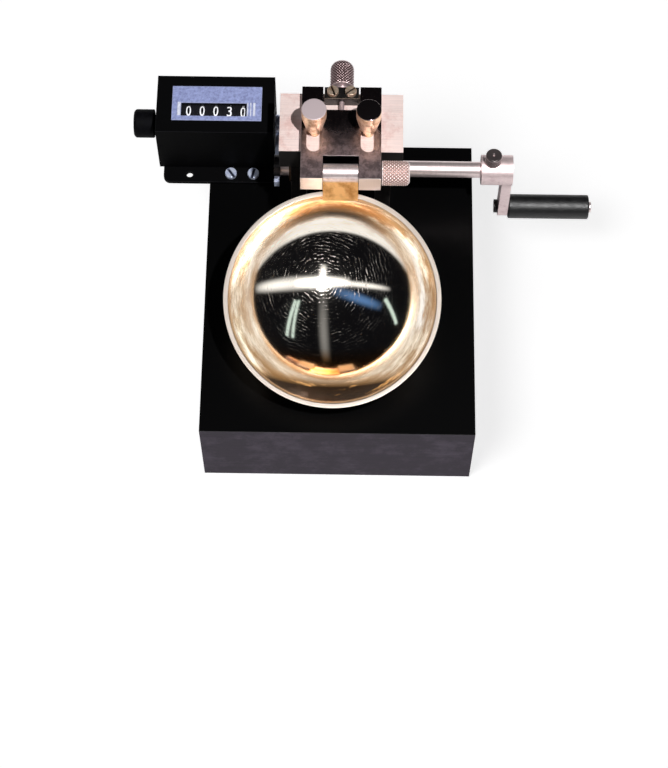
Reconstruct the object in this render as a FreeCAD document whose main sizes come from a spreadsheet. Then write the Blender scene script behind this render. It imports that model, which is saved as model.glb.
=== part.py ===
"""Liquid limit device: a brass cup that a cam lifts and drops on a hard rubber block.

Millimetres. The origin is the middle of the block's underside, X to the crank, Y to the back, Z up.
"""
import FreeCAD
import Part
import math
import os
import re
import Sketcher

# Driving dimensions: name, size, what it is.
SIZES = [
    ("base_width", 125, "hard rubber block, left to right"),
    ("base_depth", 150, "hard rubber block, front to back"),
    ("base_height", 50, "hard rubber block, bottom to top"),
    ("cup_radius", 54, "inside radius of the spherical cup"),
    ("cup_wall", 2, "sheet brass of the cup"),
    ("cup_depth", 27, "inside depth of the cup"),
    ("cup_arm", 60, "pivot to the middle of the cup, level"),
    ("cup_tilt", 20.3, "forward lean of the rim at rest, degrees"),
    ("cup_offset", 3, "middle of the cup left of the middle of the hanger"),
    ("cup_rest_gap", 0.3, "cup to block at rest"),
    ("drop_height", 10, "lift of the cup before it drops"),
    ("pivot_y", 27.6, "pivot pin behind the middle of the block"),
    ("pin_diameter", 5, "pivot pin"),
    ("pin_knob_diameter", 11.4, "knurled knob of the pivot pin"),
    ("pin_knob_length", 12.6, "knurled knob of the pivot pin"),
    ("pin_knob_bevel", 1.3, "end of the pivot pin's knob"),
    ("barrel_diameter", 8, "eye of the cup hanger"),
    ("hanger_width", 15.8, "cup hanger, left to right"),
    ("lip_length", 4, "lip of the hanger inside the cup's rim"),
    ("lip_thickness", 1.2, "lip of the hanger at its tip"),
    ("web_back", 3.4, "foot of the hanger's web, in from the rim"),
    ("web_height", 8, "web of the hanger against the cup"),
    ("web_slope", 4, "web of the hanger, from the cup down to the tail"),
    ("tail_shoulder", 2, "rear of the tail below the eye"),
    ("tail_thickness", 4.5, "tail of the hanger that carries the follower"),
    ("follower_thickness", 3, "hardened pad that the cam pushes"),
    ("follower_width", 12, "hardened pad, left to right"),
    ("follower_height", 15, "hardened pad, bottom to top"),
    ("follower_foot", 2, "bottom edge of the pad below the camshaft"),
    ("rivet_diameter", 2.2, "rivets of the follower"),
    ("rivet_low", 2.6, "lower rivet above the pad's bottom edge"),
    ("rivet_pitch", 4.4, "between the rivets"),
    ("plate_width", 36, "adjusting plate, left to right"),
    ("plate_thickness", 4, "adjusting plate over the frame block"),
    ("plate_rear", 69.5, "rear edge of the adjusting plate"),
    ("ear_height", 10, "front ears of the adjusting plate"),
    ("ear_reach", 6, "front face of the ears ahead of the pivot"),
    ("ear_depth", 12, "front ears, front to back"),
    ("front_notch_reach", 5.8, "wall of the front notch behind the pivot"),
    ("rear_notch_width", 16.8, "notch round the adjuster bracket"),
    ("rear_notch_y", 57.3, "front wall of the rear notch"),
    ("slot_width", 6.8, "clamp slots of the adjusting plate"),
    ("slot_front", 35.5, "front end of the clamp slots"),
    ("slot_end_gap", 0.6, "clamp screw to the slot's rear end, with the plate slid forward"),
    ("clamp_spacing", 24.4, "between the two clamp screws"),
    ("clamp_y", 48, "clamp screws behind the middle of the block"),
    ("clamp_head_diameter", 11.2, "head of a clamp screw"),
    ("clamp_head_height", 15.2, "head of a clamp screw with its taper"),
    ("clamp_rim_height", 5.5, "straight top of a clamp screw's head"),
    ("clamp_foot_diameter", 7.4, "narrow foot of a clamp screw's head"),
    ("clamp_stem_diameter", 4.8, "threaded stem of a clamp screw"),
    ("clamp_stem_depth", 10, "stem of a clamp screw in the frame block"),
    ("block_width", 56, "frame block, left to right"),
    ("block_front", 38, "front face of the frame block"),
    ("block_depth", 30.3, "frame block, front to back"),
    ("block_height", 14, "frame block, bottom to top"),
    ("slide_gap", 0.1, "sliding faces that lie on each other"),
    ("cheek_thickness", 7, "cheeks that stand on the base"),
    ("cheek_span", 46, "over the outer faces of both cheeks"),
    ("cheek_front", 39.5, "front face of the cheeks"),
    ("cheek_depth", 27.5, "cheeks, front to back"),
    ("bolt_diameter", 4, "long bolts through base and cheeks"),
    ("bolt_head_diameter", 7, "heads of the long bolts"),
    ("bolt_head_height", 4, "heads of the long bolts"),
    ("bolt_sink", 6, "counterbores under the base"),
    ("bolt_grip", 9, "long bolts inside the frame block"),
    ("bolt_y", 55.5, "front pair of long bolts"),
    ("bolt_pitch", 8, "front pair to rear pair of long bolts"),
    ("screw_clearance", 0.1, "round each screw and bolt"),
    ("running_clearance", 0.05, "round each shaft and pin"),
    ("bracket_width", 15.6, "adjuster bracket, left to right"),
    ("bracket_front", 62.2, "front face of the adjuster bracket"),
    ("bracket_depth", 6, "adjuster bracket, front to back"),
    ("bracket_height", 5.8, "adjuster bracket over the frame block"),
    ("bracket_screw_spacing", 8.1, "between the bracket screws"),
    ("bracket_screw_diameter", 2.5, "bracket screws"),
    ("bracket_screw_head", 5.2, "heads of the bracket screws"),
    ("bracket_screw_head_height", 2.4, "heads of the bracket screws"),
    ("bracket_screw_depth", 6, "bracket screws inside the frame block"),
    ("adjuster_diameter", 2.4, "threaded stem of the adjusting screw"),
    ("adjuster_grip", 9, "adjusting screw inside the adjusting plate"),
    ("adjuster_knob_diameter", 11, "knurled knob of the adjusting screw"),
    ("adjuster_knob_length", 13.2, "knurled knob of the adjusting screw"),
    ("adjuster_knob_bevel", 2.2, "end of the adjusting screw's knob"),
    ("adjuster_neck_diameter", 5, "neck between knob and bracket"),
    ("adjuster_neck_length", 1.6, "neck between knob and bracket"),
    ("adjuster_travel", 5, "how far the plate slides forward"),
    ("shaft_diameter", 7.5, "camshaft"),
    ("shaft_y", 47.2, "camshaft behind the middle of the block"),
    ("shaft_height", 27, "camshaft over the base"),
    ("shaft_left", 31, "left end of the camshaft from the middle"),
    ("bush_diameter", 11, "bushes of the camshaft"),
    ("bush_flange_diameter", 13, "outer flange of a bush"),
    ("bush_flange_thickness", 1, "outer flange of a bush"),
    ("cam_low", 9, "smallest radius of the cam"),
    ("cam_width", 8, "cam, left to right"),
    ("cam_gap", 0.3, "cam to follower"),
    ("cam_turn", 310, "turn from just after one drop to just before the next, degrees"),
    ("cam_dwell", 40, "low stretch of the cam after the drop, degrees"),
    ("cam_hub_diameter", 14, "hub of the cam and collars of the shaft"),
    ("cam_hub_length", 5, "hub of the cam"),
    ("collar_length", 5, "collars of the shaft"),
    ("grub_diameter", 3, "grub screws"),
    ("eccentric_diameter", 10, "disc that works the counter's lever"),
    ("eccentric_throw", 1.5, "middle of the disc from the shaft"),
    ("eccentric_width", 3, "disc that works the counter's lever"),
    ("hub_left", 64.9, "left face of the crank hub"),
    ("hub_length", 14.6, "crank hub"),
    ("hub_diameter", 14, "crank hub"),
    ("crank_throw", 33.7, "camshaft to handle"),
    ("arm_width", 9, "crank arm"),
    ("arm_thickness", 4.6, "crank arm"),
    ("handle_diameter", 11.6, "crank handle"),
    ("handle_length", 38.4, "crank handle"),
    ("handle_bevel", 0.7, "ends of the crank handle"),
    ("handle_gap", 0.3, "handle to arm"),
    ("spindle_diameter", 4, "spindle inside the handle"),
    ("spindle_head_diameter", 5.2, "slotted end of the spindle"),
    ("spindle_head_length", 1, "slotted end of the spindle"),
    ("nut_diameter", 6.4, "nut of the spindle"),
    ("nut_thickness", 1.8, "nut of the spindle"),
    ("thumb_from_hub", 5.2, "thumb screw from the hub's left face"),
    ("thumb_diameter", 7.6, "head of the crank's thumb screw"),
    ("thumb_height", 6.2, "head of the crank's thumb screw"),
    ("thumb_stem_diameter", 3.5, "stem of the crank's thumb screw"),
    ("case_right", 31.5, "right face of the counter case from the middle"),
    ("case_width", 55.1, "counter case, left to right"),
    ("case_front", 61.3, "front face of the counter case"),
    ("case_depth", 30.5, "counter case, front to back"),
    ("case_height", 32, "counter case over its base plate"),
    ("case_wall", 1.5, "sheet of the counter case"),
    ("foot_thickness", 2, "base plate of the counter"),
    ("foot_reach", 8, "flange of the base plate ahead of the case"),
    ("foot_inset", 2, "flange from the case's left face"),
    ("foot_corner", 3.4, "rounded corner of the flange"),
    ("spare_hole_inset", 14.4, "spare hole of the flange from the case's left face"),
    ("spare_hole_diameter", 3.2, "spare hole of the flange"),
    ("flange_hole_reach", 3.9, "holes of the flange ahead of the case"),
    ("counter_screw_inset", 10.3, "right fixing screw from the case's right face"),
    ("counter_screw_pitch", 10.7, "between the fixing screws"),
    ("counter_screw_diameter", 3, "fixing screws of the counter"),
    ("counter_screw_head", 5.6, "heads of the fixing screws"),
    ("counter_screw_head_height", 2.2, "heads of the fixing screws"),
    ("counter_screw_depth", 12, "fixing screws inside the base"),
    ("wheel_axle_depth", 12.2, "axle of the digit wheels behind the case's front face"),
    ("wheel_axle_height", 19, "axle of the digit wheels over the base plate"),
    ("wheel_radius", 10.3, "digit wheels"),
    ("wheel_width", 6, "digit wheels"),
    ("wheel_pitch", 6.37, "between digit wheels"),
    ("wheel_first", 14.9, "middle of the leftmost digit wheel from the case's left face"),
    ("axle_diameter", 3, "axles inside the counter"),
    ("pinion_radius", 3.2, "carry pinions"),
    ("pinion_width", 2.6, "carry pinions"),
    ("pinion_drop", 6, "pinion shaft below the axle of the wheels"),
    ("pinion_gap", 0.4, "pinions to wheels"),
    ("label_width", 41.9, "label plate of the counter"),
    ("label_depth", 18.5, "label plate of the counter"),
    ("label_thickness", 0.6, "label plate of the counter"),
    ("label_left", 7.3, "label plate from the case's left face"),
    ("label_front", 6.1, "label plate from the case's front face"),
    ("window_width", 30.6, "window over the digits"),
    ("window_depth", 7.1, "window over the digits"),
    ("window_left", 4.3, "window from the label's left edge"),
    ("window_front", 2.4, "window from the label's front edge"),
    ("window_lip", 1, "window glass under the case"),
    ("glass_thickness", 1.2, "window glass"),
    ("reset_diameter", 13.4, "reset knob"),
    ("reset_length", 9.6, "reset knob"),
    ("reset_bevel", 1, "outer end of the reset knob"),
    ("reset_collar_diameter", 8.4, "collar of the reset knob"),
    ("reset_collar_length", 1.6, "collar of the reset knob"),
    ("lever_thickness", 2.4, "lever of the counter"),
    ("lever_hub_diameter", 10, "hub of the lever"),
    ("lever_finger_depth", 4, "finger of the lever"),
    ("lever_reach", 4, "finger of the lever ahead of the camshaft"),
    ("lever_bend_inset", 1, "upper corner of the lever's bend ahead of the lower one"),
    ("lever_gap", 0.4, "lever to case and to disc"),
    ("lever_pin_diameter", 4, "pin of the lever"),
    ("lever_pin_head", 6.4, "head of the lever's pin"),
    ("lever_pin_head_length", 0.8, "head of the lever's pin"),
]
NAMES = {name for name, size, note in SIZES}

# Places that several pieces share, as formulas of the sizes.
BASE_TOP = "base_height"
PIVOT_Z = "(base_height + cup_radius + cup_wall + cup_rest_gap)"
PLATE_TOP = f"({PIVOT_Z} + ear_height / 2)"
PLATE_FRONT = "(pivot_y - ear_reach)"
BLOCK_TOP = f"({PLATE_TOP} - plate_thickness - slide_gap)"
BLOCK_BOTTOM = f"({BLOCK_TOP} - block_height)"
ADJUSTER_Z = f"({PLATE_TOP} - plate_thickness / 2)"
SHAFT_Z = "(base_height + shaft_height)"
FOLLOWER_Y = "(shaft_y - cam_low - cam_gap)"
TAIL_REAR = f"({FOLLOWER_Y} - follower_thickness)"
CUP_Y = "(pivot_y - cup_arm)"
CHEEK_X = "(cheek_span / 2)"
HANDLE_Z = f"({SHAFT_Z} - crank_throw)"
ARM_RIGHT = "(hub_left + hub_length)"
HANDLE_LEFT = f"({ARM_RIGHT} + handle_gap)"
CASE_BOTTOM = "(base_height + foot_thickness)"
CASE_TOP = f"({CASE_BOTTOM} + case_height)"
CASE_RIGHT = "(-case_right)"
CASE_LEFT = f"({CASE_RIGHT} - case_width)"
FLANGE_HOLE_Y = "(case_front - flange_hole_reach)"
SLOT_REAR = "(clamp_y + clamp_stem_diameter / 2 + adjuster_travel + slot_end_gap)"
AXLE_Y = "(case_front + wheel_axle_depth)"
AXLE_Z = f"({CASE_BOTTOM} + wheel_axle_height)"
FIRST_WHEEL_X = f"({CASE_LEFT} + wheel_first)"
LEVER_X = f"({CASE_RIGHT} + lever_gap)"
PINION_REACH = "(wheel_radius + pinion_radius + pinion_gap)"
PINION_Y = f"({AXLE_Y} + sqrt({PINION_REACH} * {PINION_REACH} - pinion_drop * pinion_drop))"
LABEL_X = f"({CASE_LEFT} + label_left)"
LABEL_Y = "(case_front + label_front)"
WINDOW_X = f"({LABEL_X} + window_left)"
WINDOW_Y = f"({LABEL_Y} + window_front)"

doc = FreeCAD.newDocument("liquid_limit_device")
sheet = doc.addObject("Spreadsheet::Sheet", "dims")
for row, (name, size, note) in enumerate(SIZES, start=1):
    sheet.set(f"A{row}", name)
    sheet.set(f"B{row}", str(size))
    sheet.setAlias(f"B{row}", name)
    sheet.set(f"C{row}", note)
doc.recompute()

TURNS = {
    "X": FreeCAD.Rotation(FreeCAD.Vector(0, 1, 0), 90),
    "Y": FreeCAD.Rotation(FreeCAD.Vector(1, 0, 0), -90),
    "Z": FreeCAD.Rotation(),
}
pieces = []


def formula(text):
    """Writes each size's name in a formula as a reference to its cell."""
    return re.sub(r"[a-z]\w*", lambda word: "dims." + word[0] if word[0] in NAMES else word[0], str(text))


def value(text):
    """The number that a formula gives now."""
    return float(sheet.evalExpression(formula(text)))


def bind(item, **sizes):
    """Ties properties of an object to formulas."""
    for name, text in sizes.items():
        item.setExpression(name, formula(text))
    return item


def place(item, x, y, z, axis="Z"):
    """Puts an object at a point, with its own Z turned to the axis."""
    item.Placement = FreeCAD.Placement(FreeCAD.Vector(), TURNS[axis])
    for name, text in zip("xyz", (x, y, z)):
        item.setExpression("Placement.Base." + name, formula(text))
    return item


def box(x, y, z, length, width, height):
    """A block from its left front bottom corner."""
    item = doc.addObject("Part::Box", "box")
    bind(item, Length=length, Width=width, Height=height)
    return place(item, x, y, z)


def rod(axis, diameter, length, x, y, z):
    """A cylinder along an axis from the middle of its first end."""
    item = doc.addObject("Part::Cylinder", "rod")
    bind(item, Radius=f"({diameter}) / 2", Height=length)
    return place(item, x, y, z, axis)


def fuse(*shapes):
    """One solid of several that meet."""
    item = doc.addObject("Part::MultiFuse", "joined")
    item.Shapes = list(shapes)
    item.Refine = True
    return item


def cut(base, *tools):
    """A solid without the tools' space."""
    item = doc.addObject("Part::Cut", "cut")
    item.Base = base
    item.Tool = tools[0] if len(tools) == 1 else fuse(*tools)
    return item


def group(*shapes):
    """Like pieces that stay separate solids of one node."""
    item = doc.addObject("Part::Compound", "group")
    item.Links = list(shapes)
    return item


def piece(label, item):
    """Names a finished sub-part."""
    item.Label = label
    pieces.append(item)
    return item


def outline_sketch(body, plane, points):
    """A closed outline of straight lines whose corners are tied to formulas."""
    sketch = body.newObject("Sketcher::SketchObject", "outline")
    support = next(item for item in body.Origin.OriginFeatures if item.Role == plane + "_Plane")
    sketch.AttachmentSupport = [(support, "")]
    sketch.MapMode = "FlatFace"
    corners = [(value(across), value(up)) for across, up in points]
    count = len(corners)
    for here in range(count):
        start = FreeCAD.Vector(*corners[here], 0)
        end = FreeCAD.Vector(*corners[(here + 1) % count], 0)
        sketch.addGeometry(Part.LineSegment(start, end), False)
    for here in range(count):
        sketch.addConstraint(Sketcher.Constraint("Coincident", here, 2, (here + 1) % count, 1))
    for here, (corner, texts) in enumerate(zip(corners, points)):
        for kind, size, text in zip(("DistanceX", "DistanceY"), corner, texts):
            index = sketch.addConstraint(Sketcher.Constraint(kind, -1, 1, here, 1, size))
            name = f"{kind}_{here}"
            sketch.renameConstraint(index, name)
            sketch.setExpression("Constraints." + name, formula(text))
    return sketch


def padded(plane, points, length, x, y, z):
    """An outline pulled straight out: up from XY, or to the right from YZ."""
    body = doc.addObject("PartDesign::Body", "body")
    pad = body.newObject("PartDesign::Pad", "pad")
    pad.Profile = outline_sketch(body, plane, points)
    bind(pad, Length=length)
    body.Tip = pad
    return place(body, x, y, z)


def turned(axis, points, x, y, z):
    """A profile of (radius, distance along the axis) pairs spun round the axis."""
    body = doc.addObject("PartDesign::Body", "body")
    sketch = outline_sketch(body, "XZ", points)
    spin = body.newObject("PartDesign::Revolution", "spin")
    spin.Profile = sketch
    spin.ReferenceAxis = (sketch, ["V_Axis"])
    spin.Angle = 360
    body.Tip = spin
    return place(body, x, y, z, axis)


def headed(axis, head, head_length, stem, stem_length, x, y, z):
    """A plain screw: a head that stands on the point, and a stem that runs back from it."""
    points = [
        (0, f"-({stem_length})"),
        (f"({stem}) / 2", f"-({stem_length})"),
        (f"({stem}) / 2", 0),
        (f"({head}) / 2", 0),
        (f"({head}) / 2", head_length),
        (0, head_length),
    ]
    return turned(axis, points, x, y, z)


def bolt_places(side):
    """Middles of the two long bolts in one cheek: -1 the left one, 1 the right one."""
    x = f"{side} * ({CHEEK_X} - cheek_thickness / 2)"
    return [(x, "bolt_y"), (x, "(bolt_y + bolt_pitch)")]


def counter_screw_places():
    """Middles of the two screws that fix the counter."""
    return [f"({CASE_RIGHT} - counter_screw_inset - {number} * counter_screw_pitch)" for number in (0, 1)]


def base_block():
    """The block with its counterbored bolt holes and the counter's screw holes."""
    block = box("-base_width / 2", "-base_depth / 2", 0, "base_width", "base_depth", "base_height")
    tools = []
    for x, y in bolt_places(-1) + bolt_places(1):
        tools.append(rod("Z", "bolt_diameter + 2 * screw_clearance", "base_height", x, y, 0))
        tools.append(rod("Z", "bolt_head_diameter + 2 * screw_clearance", "bolt_sink", x, y, 0))
    depth = "counter_screw_depth + screw_clearance"
    for x in counter_screw_places():
        bore = "counter_screw_diameter + 2 * screw_clearance"
        tools.append(rod("Z", bore, depth, x, FLANGE_HOLE_Y, f"{BASE_TOP} - ({depth})"))
    piece("base_block", cut(block, *tools))


def frame():
    """Two cheeks that stand on the base, the block across them and the long bolts that tie all three."""
    bolt_bore = "bolt_diameter + 2 * screw_clearance"
    left = ("frame_cheek_left", f"-{CHEEK_X}", -1)
    right = ("frame_cheek_right", f"{CHEEK_X} - cheek_thickness", 1)
    tall = f"{BLOCK_BOTTOM} - base_height"
    for label, x, side in (left, right):
        cheek = box(x, "cheek_front", BASE_TOP, "cheek_thickness", "cheek_depth", tall)
        tools = [rod("X", "bush_diameter", "cheek_thickness", x, "shaft_y", SHAFT_Z)]
        for bolt_x, bolt_y in bolt_places(side):
            tools.append(rod("Z", bolt_bore, BLOCK_BOTTOM, bolt_x, bolt_y, 0))
        piece(label, cut(cheek, *tools))
    size = ("block_width", "block_depth", "block_height")
    block = box("-block_width / 2", "block_front", BLOCK_BOTTOM, *size)
    tools = []
    for x, y in bolt_places(-1) + bolt_places(1):
        tools.append(rod("Z", bolt_bore, "bolt_grip + screw_clearance", x, y, BLOCK_BOTTOM))
    for side in (-1, 1):
        depth = "clamp_stem_depth + slide_gap"
        bore = "clamp_stem_diameter + 2 * running_clearance"
        x = f"{side} * clamp_spacing / 2"
        tools.append(rod("Z", bore, depth, x, "clamp_y", f"{BLOCK_TOP} - ({depth})"))
        depth = "bracket_screw_depth + screw_clearance"
        bore = "bracket_screw_diameter + 2 * screw_clearance"
        x = f"{side} * bracket_screw_spacing / 2"
        y = "bracket_front + bracket_depth / 2"
        tools.append(rod("Z", bore, depth, x, y, f"{BLOCK_TOP} - ({depth})"))
    piece("frame_block", cut(block, *tools))
    bolts = []
    for x, y in bolt_places(-1) + bolt_places(1):
        shank = rod("Z", "bolt_diameter", f"{BLOCK_BOTTOM} + bolt_grip - bolt_sink", x, y, "bolt_sink")
        head = rod("Z", "bolt_head_diameter", "bolt_head_height", x, y, "bolt_sink - bolt_head_height")
        bolts.append(fuse(shank, head))
    piece("frame_bolts", group(*bolts))


def bushes():
    """Flanged bushes pressed into the cheeks from outside."""
    for label, side in (("camshaft_bush_left", -1), ("camshaft_bush_right", 1)):
        inner = f"{side} * ({CHEEK_X} - cheek_thickness)"
        outer = f"{side} * {CHEEK_X}"
        edge = f"{side} * ({CHEEK_X} + bush_flange_thickness)"
        first = outer if side < 0 else inner
        sleeve = rod("X", "bush_diameter", "cheek_thickness", first, "shaft_y", SHAFT_Z)
        first = edge if side < 0 else outer
        flange = rod("X", "bush_flange_diameter", "bush_flange_thickness", first, "shaft_y", SHAFT_Z)
        first = edge if side < 0 else inner
        length = "cheek_thickness + bush_flange_thickness"
        bore = rod("X", "shaft_diameter + 2 * running_clearance", length, first, "shaft_y", SHAFT_Z)
        piece(label, cut(fuse(sleeve, flange), bore))


def adjuster():
    """The bracket on the frame block, its two screws and the knurled screw that moves the plate."""
    x = "-bracket_width / 2"
    block = box(x, "bracket_front", BLOCK_TOP, "bracket_width", "bracket_depth", "bracket_height")
    middle = "bracket_front + bracket_depth / 2"
    tools = []
    screws = []
    for side in (-1, 1):
        x = f"{side} * bracket_screw_spacing / 2"
        bore = "bracket_screw_diameter + 2 * screw_clearance"
        tools.append(rod("Z", bore, "bracket_height", x, middle, BLOCK_TOP))
        stem = "bracket_height + bracket_screw_depth"
        top = f"{BLOCK_TOP} + bracket_height"
        head = ("bracket_screw_head", "bracket_screw_head_height")
        screws.append(headed("Z", *head, "bracket_screw_diameter", stem, x, middle, top))
    bore = "adjuster_diameter + 2 * running_clearance"
    tools.append(rod("Y", bore, "bracket_depth", 0, "bracket_front", ADJUSTER_Z))
    piece("adjuster_bracket", cut(block, *tools))
    piece("bracket_screws", group(*screws))
    reach = "(bracket_front + bracket_depth - rear_notch_y + adjuster_grip + screw_clearance)"
    knob = "adjuster_knob_length"
    neck = "adjuster_neck_length"
    edge = "adjuster_knob_diameter / 2"
    bevel = "adjuster_knob_bevel"
    points = [
        (0, f"-{reach}"),
        ("adjuster_diameter / 2", f"-{reach}"),
        ("adjuster_diameter / 2", 0),
        ("adjuster_neck_diameter / 2", 0),
        ("adjuster_neck_diameter / 2", neck),
        (edge, neck),
        (edge, f"{neck} + {knob} - {bevel}"),
        (f"{edge} - {bevel}", f"{neck} + {knob}"),
        (0, f"{neck} + {knob}"),
    ]
    rear = "bracket_front + bracket_depth + screw_clearance"
    piece("adjusting_screw", turned("Y", points, 0, rear, ADJUSTER_Z))


def adjusting_plate():
    """The plate on the frame block, with two ears, two clamp slots and a notch at either end."""
    rear = "plate_rear"
    half = "plate_width / 2"
    ear = "(hanger_width / 2 + 2 * slide_gap)"
    wall = "(pivot_y + front_notch_reach)"
    notch = "rear_notch_width / 2"
    right = [
        (ear, wall),
        (ear, PLATE_FRONT),
        (half, PLATE_FRONT),
        (half, rear),
        (notch, rear),
        (notch, "rear_notch_y"),
    ]
    left = [("-" + across, along) for across, along in reversed(right)]
    sheet_metal = padded("XY", right + left, "plate_thickness", 0, 0, f"{PLATE_TOP} - plate_thickness")
    ears = []
    tools = []
    for side in (-1, 1):
        x = ear if side > 0 else f"-{half}"
        size = (f"{half} - {ear}", "ear_depth", "ear_height")
        ears.append(box(x, PLATE_FRONT, f"{PLATE_TOP} - ear_height", *size))
        x = f"{side} * clamp_spacing / 2"
        floor = f"{PLATE_TOP} - plate_thickness"
        front = "(slot_front + slot_width / 2)"
        back = f"({SLOT_REAR} - slot_width / 2)"
        tools.append(rod("Z", "slot_width", "plate_thickness", x, front, floor))
        tools.append(rod("Z", "slot_width", "plate_thickness", x, back, floor))
        size = ("slot_width", f"{back} - {front}", "plate_thickness")
        tools.append(box(f"{x} - slot_width / 2", front, floor, *size))
    pin = "pin_diameter + 2 * running_clearance"
    tools.append(rod("X", pin, "plate_width", f"-{half}", "pivot_y", PIVOT_Z))
    grip = "adjuster_grip + screw_clearance"
    bore = "adjuster_diameter + 2 * running_clearance"
    tools.append(rod("Y", bore, grip, 0, f"rear_notch_y - ({grip})", ADJUSTER_Z))
    piece("adjusting_plate", cut(fuse(sheet_metal, *ears), *tools))


def clamp_screws():
    """The two thumb screws that clamp the plate: a straight top, a taper to a narrow foot and a stem."""
    depth = "(plate_thickness + slide_gap + clamp_stem_depth)"
    for label, side in (("clamp_screw_left", -1), ("clamp_screw_right", 1)):
        points = [
            (0, f"-{depth}"),
            ("clamp_stem_diameter / 2", f"-{depth}"),
            ("clamp_stem_diameter / 2", "slide_gap"),
            ("clamp_foot_diameter / 2", "slide_gap"),
            ("clamp_head_diameter / 2", "clamp_head_height - clamp_rim_height"),
            ("clamp_head_diameter / 2", "clamp_head_height"),
            (0, "clamp_head_height"),
        ]
        piece(label, turned("Z", points, f"{side} * clamp_spacing / 2", "clamp_y", PLATE_TOP))


def pivot_pin():
    """The pin through both ears and the hanger, with its knurled knob on the right."""
    edge = "pin_knob_diameter / 2"
    bevel = "pin_knob_bevel"
    shoulder = "plate_width / 2 + 3 * slide_gap"
    end = f"{shoulder} + pin_knob_length"
    points = [
        (0, "-plate_width / 2"),
        ("pin_diameter / 2", "-plate_width / 2"),
        ("pin_diameter / 2", shoulder),
        (edge, shoulder),
        (edge, f"{end} - {bevel}"),
        (f"{edge} - {bevel}", end),
        (0, end),
    ]
    piece("pivot_pin", turned("X", points, 0, "pivot_y", PIVOT_Z))


def cup():
    """A spherical bowl that leans forward. Its rim lies in a flat plane below the sphere's middle."""
    outside = doc.addObject("Part::Sphere", "outside")
    bind(outside, Radius="cup_radius + cup_wall")
    outside.Angle1 = -90
    bind(outside, Angle2="-asin((cup_radius - cup_depth) / (cup_radius + cup_wall))")
    inside = doc.addObject("Part::Sphere", "inside")
    bind(inside, Radius="cup_radius")
    bowl = cut(outside, inside)
    bowl.Placement.Rotation = FreeCAD.Rotation(FreeCAD.Vector(1, 0, 0), value("cup_tilt"))
    for name, text in zip("xyz", ("-cup_offset", CUP_Y, PIVOT_Z)):
        bowl.setExpression("Placement.Base." + name, formula(text))
    bowl.setExpression("Placement.Rotation.Angle", formula("cup_tilt"))
    return piece("cup", bowl)


def hanger(bowl):
    """The eye on the pivot, the lip soldered over the rim and the tail with its hardened follower."""
    rim = "(cup_radius - cup_depth)"
    outer = "(cup_radius + cup_wall)"
    rim_y = f"({CUP_Y} + {rim} * sin(cup_tilt) + sqrt({outer} * {outer} - {rim} * {rim}) * cos(cup_tilt))"
    rim_z = f"({PIVOT_Z} - {rim} * cos(cup_tilt) + sqrt({outer} * {outer} - {rim} * {rim}) * sin(cup_tilt))"
    web_foot = f"({rim_z} - cup_wall - web_height)"
    foot = f"({SHAFT_Z} - follower_foot)"
    tail_front = f"({TAIL_REAR} - tail_thickness)"
    points = [
        ("(pivot_y - barrel_diameter / 2)", PIVOT_Z),
        (f"({rim_y} - lip_length)", f"({rim_z} - cup_wall)"),
        (f"({rim_y} - cup_wall)", f"({rim_z} - cup_wall - lip_thickness)"),
        (f"({rim_y} - web_back)", web_foot),
        (tail_front, f"({web_foot} - web_slope)"),
        (tail_front, foot),
        (TAIL_REAR, foot),
        (TAIL_REAR, f"({PIVOT_Z} - barrel_diameter / 2 - tail_shoulder)"),
        ("(pivot_y + barrel_diameter / 2)", PIVOT_Z),
    ]
    web = padded("YZ", points, "hanger_width", "-hanger_width / 2", 0, 0)
    eye = rod("X", "barrel_diameter", "hanger_width", "-hanger_width / 2", "pivot_y", PIVOT_Z)
    bore = "pin_diameter + 2 * running_clearance"
    tools = [bowl, rod("X", bore, "hanger_width", "-hanger_width / 2", "pivot_y", PIVOT_Z)]
    thickness = "tail_thickness + follower_thickness"
    rivets = []
    holes = []
    for number in (0, 1):
        z = f"{foot} + rivet_low + {number} * rivet_pitch"
        tools.append(rod("Y", "rivet_diameter", thickness, 0, tail_front, z))
        holes.append(rod("Y", "rivet_diameter", thickness, 0, tail_front, z))
        shank = rod("Y", "rivet_diameter", thickness, 0, tail_front, z)
        head_front = f"{tail_front} - rivet_diameter / 2"
        head = rod("Y", "1.7 * rivet_diameter", "rivet_diameter / 2", 0, head_front, z)
        rivets.append(fuse(shank, head))
    piece("cup_hanger", cut(fuse(web, eye), *tools))
    size = ("follower_width", "follower_thickness", "follower_height")
    pad = box("-follower_width / 2", TAIL_REAR, foot, *size)
    piece("cam_follower", cut(pad, *holes))
    piece("follower_rivets", group(*rivets))


def cam_profile():
    """Points of the cam, its angle measured from straight ahead and counted downwards.

    The follower's face leans as the cup rises. Each radius is the distance from the shaft to that
    leaning face, less the gap, so that an even turn lifts the cup evenly.
    """
    lift = math.asin(value("drop_height / cup_arm"))
    behind = value("shaft_y - pivot_y")
    below = value(f"{PIVOT_Z} - {SHAFT_Z}")
    face = value(f"{FOLLOWER_Y} - pivot_y")
    turn = math.radians(value("cam_turn"))
    steps = 24
    points = []
    for step in range(steps + 1):
        lean = lift * step / steps
        radius = behind * math.cos(lean) + below * math.sin(lean) - face - value("cam_gap")
        angle = -turn * step / steps - lean
        points.append(FreeCAD.Vector(0, -radius * math.cos(angle), -radius * math.sin(angle)))
    return points


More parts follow.
